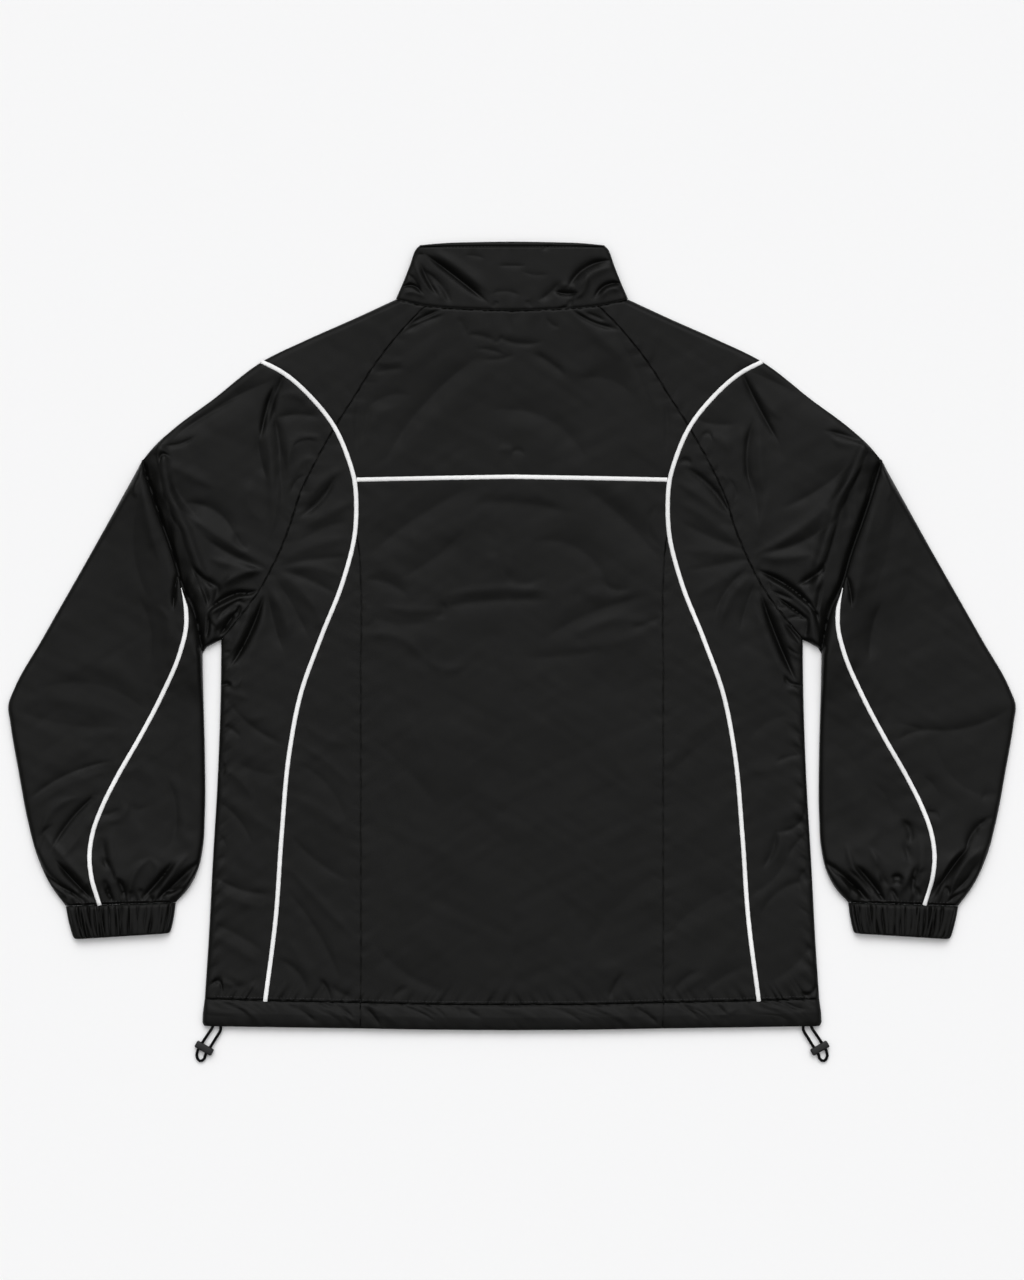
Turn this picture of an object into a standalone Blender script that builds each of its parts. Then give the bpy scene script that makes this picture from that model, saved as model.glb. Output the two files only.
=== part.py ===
"""Raglan track jacket with a stand collar, laid face down and flat, back up.

Every cloth piece is a thin closed wall worked out from its seam lines and one height function, so that
neighbouring pieces share their seams. Lengths are in millimetres until they become mesh points.
Out is the distance from the centre line, up is the distance towards the collar, z is the height.
"""
import math

import bmesh
import bpy
import numpy as np

MM = 0.001
LEFT = -1
RIGHT = 1
SIDES = (("left", LEFT), ("right", RIGHT))

# Walls and the gaps between them
CLOTH = 1.6
BAND = 2.2
SEAM_GAP = 0.3
HIDDEN_GAP = 0.6

# Heights above the floor
BACK_HEIGHT = 8.0
EDGE_HEIGHT = 3.6
FOREARM_HEIGHT = 8.6
COLLAR_HEIGHT = 10.8
COLLAR_LIFT = 3.0
CUFF_HEIGHT = 6.8
NECK_RISE = 2.2
NECK_REACH = 60.0

# Where the fronts rise towards the collar: up from start to end, fading out away from the neck
FRONT_LIFT_START = 255.0
FRONT_LIFT_END = 295.0
FRONT_LIFT_OUT = 140.0
FRONT_LIFT_FADE = 50.0
LIFT_STEPS = 4

# Fold of the forearm over the upper sleeve, and the valley beside it
FOLD_RISE = 5.2
FOLD_REACH = 55.0
FOLD_CLEARANCE = 0.5
FOLD_EDGE_REACH = 4.0
ELBOW_FADE = 3.0
VALLEY_DEPTH = 3.2
VALLEY_REACH = 15.0
TUCK = 9.0

# Rolled edges: how far in the roll starts, above and below the edge height
ROLL = 7.0
UNDER_ROLL = 4.5
ROLL_STEPS = 3
LEAST_RISE = 0.2

# Divisions of curves, and the angle from which an edge is sharp
SPAN_STEPS = 12
FINE_STEPS = 60
SHARP_ANGLE = 50.0

# Steps along the shared seams and edges
RAGLAN_TOP_STEPS = 7
RAGLAN_LOW_STEPS = 8
YOKE_STEPS = 5
YOKE_SIDE_STEPS = 3
BACK_SIDE_STEPS = 2
PRINCESS_STEPS = 12
STRIP_STEPS = 3
SIDE_STEPS = 8
UNDERARM_STEPS = 2
TUCK_STEPS = 8
ARM_EDGE_STEPS = 11
SLEEVE_SEAM_STEPS = 15
FOLD_STEPS = 6
ELBOW_STEPS = 8
FOREARM_EDGE_STEPS = 7
CUFF_OUTER_STEPS = 6
CUFF_INNER_STEPS = 9
INNER_START_ROW = 2

# Steps of the hidden fronts
NECK_STEPS = 2
FRONT_RAGLAN_STEPS = 6
ZIP_EDGE_STEPS = 4
UNDER_EDGE_STEPS = (10, 3, 4)
UNDER_INSIDE_STEPS = 7

# Narrow top of the strip beside the princess seam, and the start of the sleeve piping
STRIP_START = 8.0
PIPING_FORK = 9.0

# Piping
PIPING_WIDTH = 4.4
PIPING_HEIGHT = 1.4
PIPING_LIFT = 0.35
PIPING_SHOULDER = 0.7
PIPING_MERGE = 1.0

# Collar rows: half width, up at the side, up at the centre
COLLAR_ROLL = 6.0
COLLAR_TOP_CENTRE = 393.7
COLLAR_ROLL_STEPS = 6
COLLAR_FRONT_STEPS = 4
COLLAR_BACK_STEPS = 10
COLLAR_ROWS = (
    (116, 336.3, 325),
    (109.3, 351.5, 343),
    (102, 370, 364),
    (95.6, 386.4, 384.6),
    (91.6, 390.2, COLLAR_TOP_CENTRE),
)

# Hem rows: share of its depth, out of the side, how much it stands above the back
HEM_CENTRE_STEPS = 12
HEM_TOP_STEPS = 7
HEM_UNDER_STEPS = 8
HEM_ROWS = ((0, 307, -0.2), (0.5, 308.9, 0.7), (0.86, 309.4, 0.3), (1, 307.6, -0.2))

# Cuff rows: out and up at the inner side, then at the outer side
CUFF_ROWS = (((336, -266.3), (446, -269.9)), ((341.7, -297), (438, -303)))
CUFF_TURN_STEPS = 5
RIBS = 20
RIB_HEIGHT = 1.3
RIB_UNEVEN = 0.22
RIB_PHASE = 2.1
RIB_FLANKS = (0.3, 0.7)

# Zip
ZIP_OPENING = 4.8
ZIP_TOP = 362.0
ZIP_BOTTOM = -388.0
TAPE_BASE = 2.5
TAPE_WIDTH = 13.0
TAPE_THICKNESS = 0.9
COIL_WIDTH = 5.0
COIL_THICKNESS = 1.8

# Slider and the lugs and pin that hold its pull
SLIDER_WIDTH = 8.6
SLIDER_LENGTH = 11.0
SLIDER_PLATE = 1.0
SLIDER_POST = 2.5
PIN_RADIUS = 0.6
PIN_DROP = 1.9
LUG_OUT = 2.6
LUG_LENGTH = 2.6
LUG_THICKNESS = 0.9
LUG_SINK = 0.4

# Pull tab: eye, neck, and its outline as half width and distance below the hinge
EYE_RADIUS = 1.45
EYE_WIDTH = 3.4
PULL_THICKNESS = 1.2
PULL_OUTLINE = ((1.4, 0.3), (1.4, 4), (2.5, 8), (2.5, 28), (1.0, 30))
ROD_SIDES = 16
CUTTER_OVERHANG = 4.0

# Drawcord: route as rows of out, up and height
CORD_RADIUS = 1.45
CORD_POINTS = 32
CORD_BEVEL = 2
CORD_ROUTE = (
    (293.4, -385, 3.9), (290.9, -391.5, 3.9), (296.4, -402.5, 3.3), (301.1, -410.2, 3.2),
    (306.5, -418.6, 2.9), (307.9, -423.2, 2.2), (311.8, -424.9, 1.8), (315.0, -421.0, 2.2),
    (314.1, -414.4, 2.9), (308.9, -405.6, 3.2), (303.6, -397.6, 3.5), (299.3, -390.8, 3.9),
    (298.2, -385, 3.9),
)

# Cord lock: bar with bevelled ends, its outline as shares of half its length and half its depth
LOCK_CENTRE = (307.6, -411.9)
LOCK_LENGTH = 19.0
LOCK_DEPTH = 7.4
LOCK_HEIGHT = 6.4
LOCK_TILT = 30.0
LOCK_HOLE_GAP = 9.0
LOCK_HOLE_RADIUS = 1.8
LOCK_HOLE_SIDES = 12
LOCK_OUTLINE = (
    (-1, -0.45), (-0.78, -1), (0.78, -1), (1, -0.45), (1, 0.45), (0.78, 1), (-0.78, 1), (-1, 0.45),
)

# Seam and edge lines as rows of out and up, with the rows at which other seams meet them
SHOULDER_EDGE = (
    (116, 336.3), (159, 316.4), (205, 296), (250, 274), (300, 235.5), (337, 208), (358, 189), (369.5, 175),
)
SHOULDER_PIPING = 3
OUTER_SLEEVE_EDGE = (
    (369.5, 175), (420, 84), (470, -4), (498, -54), (503.4, -69), (501.5, -86), (493, -136), (484, -184),
    (474, -221), (461, -249), (446, -269.6),
)
ELBOW_ROW = 4
INNER_SLEEVE_EDGE = (
    (309.3, -13.4), (308.5, -58), (307, -114), (307, -180), (309, -212), (314, -234), (324, -253), (336, -266),
)
SLEEVE_FOLD = ((369.5, 175), (355, 129), (338, 80), (329, 50), (318, 26), (309.3, -13.4))
FORK_ROW = 3
UNDERARM_EDGE = ((290.5, -3.6), (300, -8.5), (309.3, -13.4))
SIDE_EDGE = ((290.5, -3.6), (291, -50), (294, -140), (299, -226), (303.5, -310), (307, -362.5))
RAGLAN_SEAM = (
    (86, 329.8), (110, 305), (140, 266.5), (158, 237.5), (177, 208), (198.5, 169.5), (212, 141), (222.5, 108.5),
    (236.5, 75), (254, 43), (272, 19), (290.5, -3.6),
)
RAGLAN_CROSSING = 4
BODY_PIPING = (
    (250, 274), (230.5, 264), (198.5, 236), (177, 208), (164.5, 180), (157.5, 156), (155.5, 126), (156.5, 106),
    (169, 54), (191, -2), (211, -58), (222, -114), (230, -198), (236, -282), (246.5, -364.5),
)
PIPING_CROSSING = 3
PIPING_YOKE = 5
PIPING_STRIP = 7
PRINCESS_SEAM = ((156.5, 106), (153, 88), (151.2, 60), (151, -40), (151, -200), (151, -366.5))
SLEEVE_PIPING = (
    (329, 50), (325.2, 26), (325, 10), (331, -16), (349, -58), (371, -100), (395, -142), (409, -170),
    (419, -198), (421.8, -219), (420, -240), (412, -268.4),
)
COLLAR_SEAM = ((0, 325), (45, 326.6), (86, 329.8), (116, 336.3))
COLLAR_RAGLAN = 2
YOKE_SEAM = ((0, 159), (80, 157.6), (157.5, 156))
HEM_SEAM = ((0, -368.7), (80, -368.2), (151, -366.5), (246.5, -364.5), (307, -362.5))
HEM_PRINCESS = 2
HEM_PIPING = 3
HEM_EDGE = ((0, -393.7), (80, -393.2), (151, -392), (246.5, -390.6), (309.3, -389.6))
FRONT_NECK_SEAM = ((ZIP_OPENING, 299), (40, 303), (80, 316), (116, 336.3))
FRONT_RAGLAN_SEAM = ((66, 311), (110, 258), (160, 190), (205, 118), (250, 48), (290.5, -3.6))

# Largest folds: region, out and up of one end, out and up of the other, sideways bow, half width, height
FOLD_DEPTH = 1.35
FOLD_OVERRUN = 0.12
FOLD_FADE = 0.37
FOLDS = (
    ("back", 28, 284, 128, 178, 8, 15, -2.2),
    ("back", 52, 160, 150, 82, -14, 14, -1.8),
    ("back", 66, 146, 148, 92, -12, 12, 1.6),
    ("back", 6, 42, 120, 24, 6, 13, 1.6),
    ("back", 20, 16, 140, 0, -5, 12, -1.5),
    ("back", 158, 168, 262, 60, 10, 12, 1.9),
    ("back", 160, 116, 250, 58, 6, 10, -1.9),
    ("back", 164, 62, 252, 46, 4, 10, 1.7),
    ("back", 180, 30, 262, 34, -4, 9, -1.6),
    ("back", 246, 44, 276, -34, -6, 9, -2.4),
    ("back", 212, 96, 282, -60, -8, 12, 1.9),
    ("back", 262, -60, 300, -30, 3, 11, -1.6),
    ("back", 240, -180, 296, -144, 4, 12, -1.5),
    ("back", 246, -250, 300, -216, 4, 12, 1.4),
    ("back", 252, -352, 306, -318, 4, 11, -1.4),
    ("back", 240, 254, 251, 176, 4, 11, -2.4),
    ("back", 262, 226, 240, 92, -12, 13, 2.4),
    ("back", 232, 160, 222, 116, 3, 8, -1.8),
    ("back", 262, 50, 350, 128, 10, 13, 2.2),
    ("back", 258, 40, 318, 58, 8, 10, -2.2),
    ("back", 290, 236, 352, 178, -8, 12, 1.7),
    ("back", 270, 16, 304, 6, 4, 8, 1.8),
    ("collar", 84, 379, 29, 337, 3, 9, -1.3),
    ("collar", 112, 350, 76, 340, -3, 8, -1.1),
    ("forearm", 496, -68, 398, -84, 6, 14, -2.0),
    ("forearm", 488, -128, 404, -100, -6, 14, 1.8),
    ("forearm", 484, -166, 400, -132, -6, 13, -1.9),
    ("forearm", 470, -214, 428, -160, -4, 9, 1.8),
    ("forearm", 318, -150, 372, -214, 5, 11, -1.8),
    ("forearm", 312, -90, 352, -56, 4, 14, 1.4),
    ("forearm", 400, 80, 352, -20, 10, 26, 1.6),
    ("forearm", 372, 120, 340, 20, 6, 12, -1.8),
)

# Gathers above each cuff: out at the cuff seam, out and up of the far end, half width, height
GATHERS = (
    (436, 462, -222, 6.0, 1.8),
    (425, 440, -212, 4.5, -2.4),
    (404, 402, -206, 5.0, -2.2),
    (393, 384, -206, 5.0, 2.2),
    (380, 356, -210, 5.0, -2.6),
    (367, 342, -206, 5.0, 2.2),
    (354, 326, -222, 4.5, -2.4),
    (344, 318, -228, 4.0, 1.6),
)
GATHER_START = -270.0
PUFF_CENTRE = -236.0
PUFF_REACH = 26.0
PUFF_HEIGHT = 2.6


def smooth_line(rows):
    """Fine points of a smooth curve through the rows, SPAN_STEPS to a span."""
    knots = np.array(rows, float)
    spans = np.linalg.norm(np.diff(knots, axis=0), axis=1)
    slopes = np.diff(knots, axis=0) / spans[:, None]
    before, after = spans[:-1, None], spans[1:, None]
    inner = (slopes[:-1] * after + slopes[1:] * before) / (before + after)
    tangents = np.vstack([slopes[:1], inner, slopes[-1:]])
    points = []
    for i, span in enumerate(spans):
        for t in np.arange(SPAN_STEPS) / SPAN_STEPS:
            start = (1 + 2 * t) * (1 - t) ** 2 * knots[i] + t * (1 - t) ** 2 * span * tangents[i]
            end = t * t * (3 - 2 * t) * knots[i + 1] + t * t * (t - 1) * span * tangents[i + 1]
            points.append(start + end)
    points.append(knots[-1])
    return np.array(points)


def stretch(rows, first=0, last=-1):
    """The smooth line from one row to another, turned round if the last row comes first."""
    line = smooth_line(rows)
    last = last % len(rows)
    part = line[min(first, last) * SPAN_STEPS:max(first, last) * SPAN_STEPS + 1]
    return part if first < last else part[::-1]


def run_length(line):
    """Length along the line up to each of its points."""
    return np.concatenate([[0], np.cumsum(np.linalg.norm(np.diff(line, axis=0), axis=1))])


def at_lengths(line, marks):
    """Points of the line at the given lengths along it."""
    run = run_length(line)
    return np.stack([np.interp(marks, run, line[:, k]) for k in range(line.shape[1])], axis=1)


def nearest_on(points, line):
    """Distance from each point to the line, the nearest point on it and its place along the line."""
    start, step = line[:-1], np.diff(line, axis=0)
    square = np.maximum((step ** 2).sum(axis=1), 1e-12)
    offset = points[:, None, :] - start[None, :, :]
    share = np.clip((offset * step).sum(axis=2) / square, 0, 1)
    feet = start[None] + share[:, :, None] * step[None]
    gaps = np.linalg.norm(points[:, None, :] - feet, axis=2)
    best = gaps.argmin(axis=1)
    rows = np.arange(len(points))
    return gaps[rows, best], feet[rows, best], best + share[rows, best]


def roll_depths(reach):
    """Distances from a rolled edge at which its quarter turn is divided, from the edge inwards."""
    angles = np.linspace(math.pi / 2, 0, ROLL_STEPS + 1)
    return reach * (1 - np.sin(angles))


def divide(line, steps, start_edge=None, end_edge=None, reach=ROLL):
    """Points along a line: at the roll's depths next to an edge that it meets, even between."""
    total = run_length(line)[-1]
    begin, finish = [], []
    low, high = 0.0, total
    if start_edge is not None:
        depth = np.maximum.accumulate(nearest_on(line, start_edge)[0])
        begin = list(np.interp(roll_depths(reach), depth, run_length(line)))
        low = begin.pop()
    if end_edge is not None:
        back = line[::-1]
        depth = np.maximum.accumulate(nearest_on(back, end_edge)[0])
        finish = [total - mark for mark in np.interp(roll_depths(reach), depth, run_length(back))]
        high = finish.pop()
        finish.reverse()
    return at_lengths(line, begin + list(np.linspace(low, high, steps + 1)) + finish)


def join(*lines):
    """One line from several that follow on from each other."""
    whole = lines[0]
    for line in lines[1:]:
        whole = np.vstack([whole, line[1:]])
    return whole


def mirrored(line):
    """A line from the far side, through the centre, to the near side."""
    flipped = line[::-1] * (-1, 1)
    return np.vstack([flipped[:-1], line]) if abs(line[0, 0]) < 1e-6 else np.vstack([flipped, line])


def patch(bottom, top, left, right):
    """Grid of plan points between four lines that meet at the corners, rows from bottom to top."""
    def shares(line):
        run = run_length(line)
        return run / run[-1]
    rows, columns = len(left), len(bottom)
    v_left, v_right = shares(left)[:, None], shares(right)[:, None]
    u_low, u_high = shares(bottom)[None, :], shares(top)[None, :]
    across, along = np.linspace(0, 1, columns)[None, :], np.linspace(0, 1, rows)[:, None]
    v = (v_left * (1 - across) + v_right * across)[:, :, None]
    u = (u_low * (1 - along) + u_high * along)[:, :, None]
    lofted = (1 - v) * bottom[None] + v * top[None] + (1 - u) * left[:, None] + u * right[:, None]
    corners = ((1 - u) * (1 - v) * bottom[0] + u * (1 - v) * bottom[-1]
               + (1 - u) * v * top[0] + u * v * top[-1])
    return lofted - corners


def trimmed(grid, seams):
    """The grid with half the seam gap taken off along each named side: bottom, top, left or right."""
    shift = np.zeros_like(grid)
    borders = {
        "bottom": (np.s_[0, :], np.s_[1, :]), "top": (np.s_[-1, :], np.s_[-2, :]),
        "left": (np.s_[:, 0], np.s_[:, 1]), "right": (np.s_[:, -1], np.s_[:, -2]),
    }
    for side in seams:
        border, inner = borders[side]
        line = grid[border]
        tangent = np.gradient(line, axis=0)
        normal = np.stack([-tangent[:, 1], tangent[:, 0]], axis=1)
        normal /= np.linalg.norm(normal, axis=1)[:, None]
        middle = len(line) // 2
        if ((grid[inner] - line)[middle] * normal[middle]).sum() < 0:
            normal = -normal
        shift[border] += normal * SEAM_GAP / 2
    return grid + shift


def ease(value):
    """Smooth step from 0 to 1."""
    value = np.clip(value, 0, 1)
    return value * value * (3 - 2 * value)


def soft_fold(points, start, end, bow, half_width):
    """Height share of a soft ridge along a bowed line, fading out at both ends."""
    start, end = np.array(start, float), np.array(end, float)
    along = end - start
    length = np.linalg.norm(along)
    along /= length
    across = np.array((-along[1], along[0]))
    offset = points - start
    share = offset @ along / length
    middle = np.clip(share, 0, 1)
    side = offset @ across - bow * 4 * middle * (1 - middle)
    ends = ease((share + FOLD_OVERRUN) / FOLD_FADE) * ease((1 + FOLD_OVERRUN - share) / FOLD_FADE)
    return ends * np.exp(-(side / half_width) ** 2)


def folds_of(region, points):
    """Sum of the region's folds at the plan points."""
    total = np.zeros(len(points))
    for name, out_a, up_a, out_b, up_b, bow, half_width, height in FOLDS:
        if name == region:
            total += height * soft_fold(points, (out_a, up_a), (out_b, up_b), bow, half_width)
    return total * FOLD_DEPTH


FOLD_LINE = stretch(SLEEVE_FOLD)
BACK_EDGES = (stretch(SHOULDER_EDGE), join(stretch(UNDERARM_EDGE)[::-1], stretch(SIDE_EDGE)))
FOREARM_EDGES = (join(FOLD_LINE, stretch(INNER_SLEEVE_EDGE)), stretch(OUTER_SLEEVE_EDGE))
UNDER_EDGES = (
    join(stretch(SHOULDER_EDGE), stretch(OUTER_SLEEVE_EDGE)),
    join(stretch(INNER_SLEEVE_EDGE)[::-1], stretch(UNDERARM_EDGE)[::-1], stretch(SIDE_EDGE)),
)


def back_plain(points):
    """Height of the yoke, back, side, shoulder and upper sleeve cloth away from rolled edges."""
    height = np.full(len(points), BACK_HEIGHT) + folds_of("back", points)
    neck_gap = nearest_on(points, stretch(COLLAR_SEAM))[0]
    height += NECK_RISE * np.exp(-(neck_gap / NECK_REACH) ** 2)
    fold_gap = nearest_on(points, FOLD_LINE)[0]
    return height - VALLEY_DEPTH * np.exp(-(fold_gap / VALLEY_REACH) ** 2)


def forearm_plain(points):
    """Height of the forearm cloth away from rolled edges: highest where it folds over the upper sleeve."""
    fold_gap = nearest_on(points, FOLD_LINE)[0]
    height = FOREARM_HEIGHT + FOLD_RISE * np.exp(-(fold_gap / FOLD_REACH) ** 2)
    height = height + folds_of("forearm", points)
    height += PUFF_HEIGHT * np.exp(-((points[:, 1] - PUFF_CENTRE) / PUFF_REACH) ** 2)
    for out_seam, out_far, up_far, half_width, rise in GATHERS:
        height += rise * soft_fold(points, (out_seam, GATHER_START), (out_far, up_far), 0, half_width)
    return height


def roll_over(points, height, edges, low, reach):
    """Heights and normals of cloth that turns down, or up, to the low height at its edges."""
    gaps, feet = [], []
    for edge in edges:
        gap, foot, _ = nearest_on(points, edge)
        gaps.append(gap)
        feet.append(foot)
    gaps, feet = np.array(gaps), np.array(feet)
    nearest = gaps.argmin(axis=0)
    columns = np.arange(len(points))
    gap, foot = gaps[nearest, columns], feet[nearest, columns]
    sine = np.clip(1 - gap / reach, 0, 1)
    cosine = np.sqrt(1 - sine ** 2)
    outward = foot - points
    size = np.linalg.norm(outward, axis=1)
    for k in np.flatnonzero(size < 1e-6):
        edge = edges[nearest[k]]
        outward[k] = edge_outward(edge, points[k], points.mean(axis=0))
        size[k] = 1
    outward /= size[:, None]
    rise = np.where(np.abs(height - low) < LEAST_RISE, LEAST_RISE, height - low)
    tilt = np.stack([sine / reach, cosine / np.abs(rise)], axis=1)
    tilt /= np.linalg.norm(tilt, axis=1)[:, None]
    normal = np.column_stack([outward * tilt[:, :1], np.sign(rise) * tilt[:, 1]])
    return low + rise * cosine, normal


def edge_outward(edge, point, middle):
    """Unit vector square to the edge at one of its points, pointing away from the piece's middle."""
    place = nearest_on(point[None], edge)[2][0]
    low = int(np.clip(round(place) - 1, 0, len(edge) - 2))
    high = int(np.clip(round(place) + 1, 1, len(edge) - 1))
    tangent = edge[high] - edge[low]
    normal = np.array((-tangent[1], tangent[0])) / np.linalg.norm(tangent)
    return normal if (point - middle) @ normal > 0 else -normal


def surface(region, points):
    """Heights and outward normals of a region's outer face at plan points with out above zero."""
    upper_edge = EDGE_HEIGHT + SEAM_GAP / 2
    if region == "back":
        return roll_over(points, back_plain(points), BACK_EDGES, upper_edge, ROLL)
    if region == "forearm":
        fold_gap, foot, _ = nearest_on(points, FOLD_LINE)
        outer_gap = nearest_on(points, FOREARM_EDGES[1])[0]
        under = surface("back", foot)[0] + FOLD_CLEARANCE
        near_fold = np.exp(-(fold_gap / FOLD_EDGE_REACH) ** 2) * ease(outer_gap / ELBOW_FADE)
        low = upper_edge + (under - upper_edge) * near_fold
        return roll_over(points, forearm_plain(points), FOREARM_EDGES, low, ROLL)
    lift = front_lift(points[:, 1]) * ease((FRONT_LIFT_OUT - points[:, 0]) / FRONT_LIFT_FADE)
    return roll_over(points, lift, UNDER_EDGES, EDGE_HEIGHT - SEAM_GAP / 2, UNDER_ROLL)


def raised(grid, region):
    """Outer points and normals in space for a grid of plan points, which may cross the centre line."""
    plan = grid.reshape(-1, 2)
    sign = np.where(plan[:, 0] < 0, -1.0, 1.0)
    height, normal = surface(region, plan * np.column_stack([sign, np.ones(len(plan))]))
    normal[:, 0] *= sign
    outer = np.column_stack([plan, height]).reshape(*grid.shape[:2], 3)
    return outer, normal.reshape(*grid.shape[:2], 3)


def material(name, colour, roughness, metallic=0.0):
    """Plain Principled material."""
    made = bpy.data.materials.new(name)
    made.use_nodes = True
    shader = made.node_tree.nodes["Principled BSDF"]
    shader.inputs["Base Color"].default_value = (*colour, 1)
    shader.inputs["Roughness"].default_value = roughness
    shader.inputs["Metallic"].default_value = metallic
    return made


def link(name, mesh, finish):
    """New object in the scene with its material."""
    mesh.materials.append(finish)
    made = bpy.data.objects.new(name, mesh)
    bpy.context.scene.collection.objects.link(made)
    return made


def wall(name, outer, inner, finish, closed=False):
    """Closed wall between two grids of points; a closed one joins its last row to its first."""
    rows, columns = outer.shape[:2]
    points = np.concatenate([outer.reshape(-1, 3), inner.reshape(-1, 3)]) * MM
    half = rows * columns
    last = rows if closed else rows - 1
    faces = []
    for j in range(last):
        k = (j + 1) % rows
        for i in range(columns - 1):
            quad = (j * columns + i, j * columns + i + 1, k * columns + i + 1, k * columns + i)
            faces.append(quad)
            faces.append(tuple(half + v for v in reversed(quad)))
        for i in (0, columns - 1):
            faces.append((j * columns + i, k * columns + i, half + k * columns + i, half + j * columns + i))
    if not closed:
        for j in (0, rows - 1):
            for i in range(columns - 1):
                a = j * columns + i
                faces.append((a, a + 1, half + a + 1, half + a))
    mesh = bpy.data.meshes.new(name)
    mesh.from_pydata([tuple(p) for p in points], [], faces)
    form = bmesh.new()
    form.from_mesh(mesh)
    bmesh.ops.recalc_face_normals(form, faces=form.faces)
    form.to_mesh(mesh)
    form.free()
    mesh.shade_smooth()
    mesh.set_sharp_from_angle(angle=math.radians(SHARP_ANGLE))
    return link(name, mesh, finish)


def panel(name, grid, region, finish, seams, thickness=CLOTH):
    """Cloth panel from a plan grid: trimmed at its seams, raised and given its thickness."""
    outer, normals = raised(trimmed(grid, seams), region)
    wall(name, outer, outer - normals * thickness, finish)
    return outer, normals


def reflected(grid, side):
    """The grid of a right-hand piece, or its mirror image for the left."""
    return grid * (side, 1)


def piping(name, left, right, finish, cut_start=0.0, cut_end=0.0):
    """Piping over a seam, from the border and next points of the panels on its two sides."""
    (left_border, left_next, left_normal), (right_border, right_next, right_normal) = left, right
    centre = (left_border + right_border) / 2
    total = run_length(centre)[-1]
    normal = left_normal + right_normal
    normal /= np.linalg.norm(normal, axis=1)[:, None]

    def reach(border, towards):
        step = towards - border
        return border + step / np.linalg.norm(step, axis=1)[:, None] * PIPING_WIDTH / 2
    sides = [reach(left_border, left_next), centre, reach(right_border, right_next)]
    low = [line + normal * PIPING_LIFT for line in sides]
    shoulder = [line + normal * PIPING_HEIGHT * PIPING_SHOULDER for line in (low[0], low[2])]
    crown = low[1] + normal * PIPING_HEIGHT
    ring = np.stack([low[0], low[1], low[2], shoulder[1], crown, shoulder[0]])
    keep = run_length(centre)
    between = (keep > cut_start + PIPING_MERGE) & (keep < total - cut_end - PIPING_MERGE)
    marks = np.concatenate([[cut_start], keep[between], [total - cut_end]])
    ring = np.stack([np.stack([np.interp(marks, keep, line[:, k]) for k in range(3)], axis=1) for line in ring])
    tube(name, ring, finish)


def tube(name, ring, finish):
    """Closed solid from the lines along its corners, with flat ends."""
    corners, stations = ring.shape[:2]
    points = (ring.transpose(1, 0, 2).reshape(-1, 3)) * MM
    faces = [tuple(range(corners)), tuple(range((stations - 1) * corners, stations * corners))]
    for s in range(stations - 1):
        for c in range(corners):
            d = (c + 1) % corners
            faces.append((s * corners + c, s * corners + d, (s + 1) * corners + d, (s + 1) * corners + c))
    mesh = bpy.data.meshes.new(name)
    mesh.from_pydata([tuple(p) for p in points], [], faces)
    form = bmesh.new()
    form.from_mesh(mesh)
    bmesh.ops.recalc_face_normals(form, faces=form.faces)
    form.to_mesh(mesh)
    form.free()
    mesh.shade_smooth()
    mesh.set_sharp_from_angle(angle=math.radians(SHARP_ANGLE))
    return link(name, mesh, finish)


def border(made, side):
    """Border points, the next points inwards and the border's normals of a raised grid."""
    outer, normals = made
    if side == "left":
        return outer[:, 0], outer[:, 1], normals[:, 0]
    if side == "right":
        return outer[:, -1], outer[:, -2], normals[:, -1]
    if side == "bottom":
        return outer[0], outer[1], normals[0]
    return outer[-1], outer[-2], normals[-1]


def chain(*parts):
    """Borders that follow on from each other, as one, each corner counted once."""
    return tuple(np.vstack([part[k] if n == 0 else part[k][1:] for n, part in enumerate(parts)])
                 for k in range(3))


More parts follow.
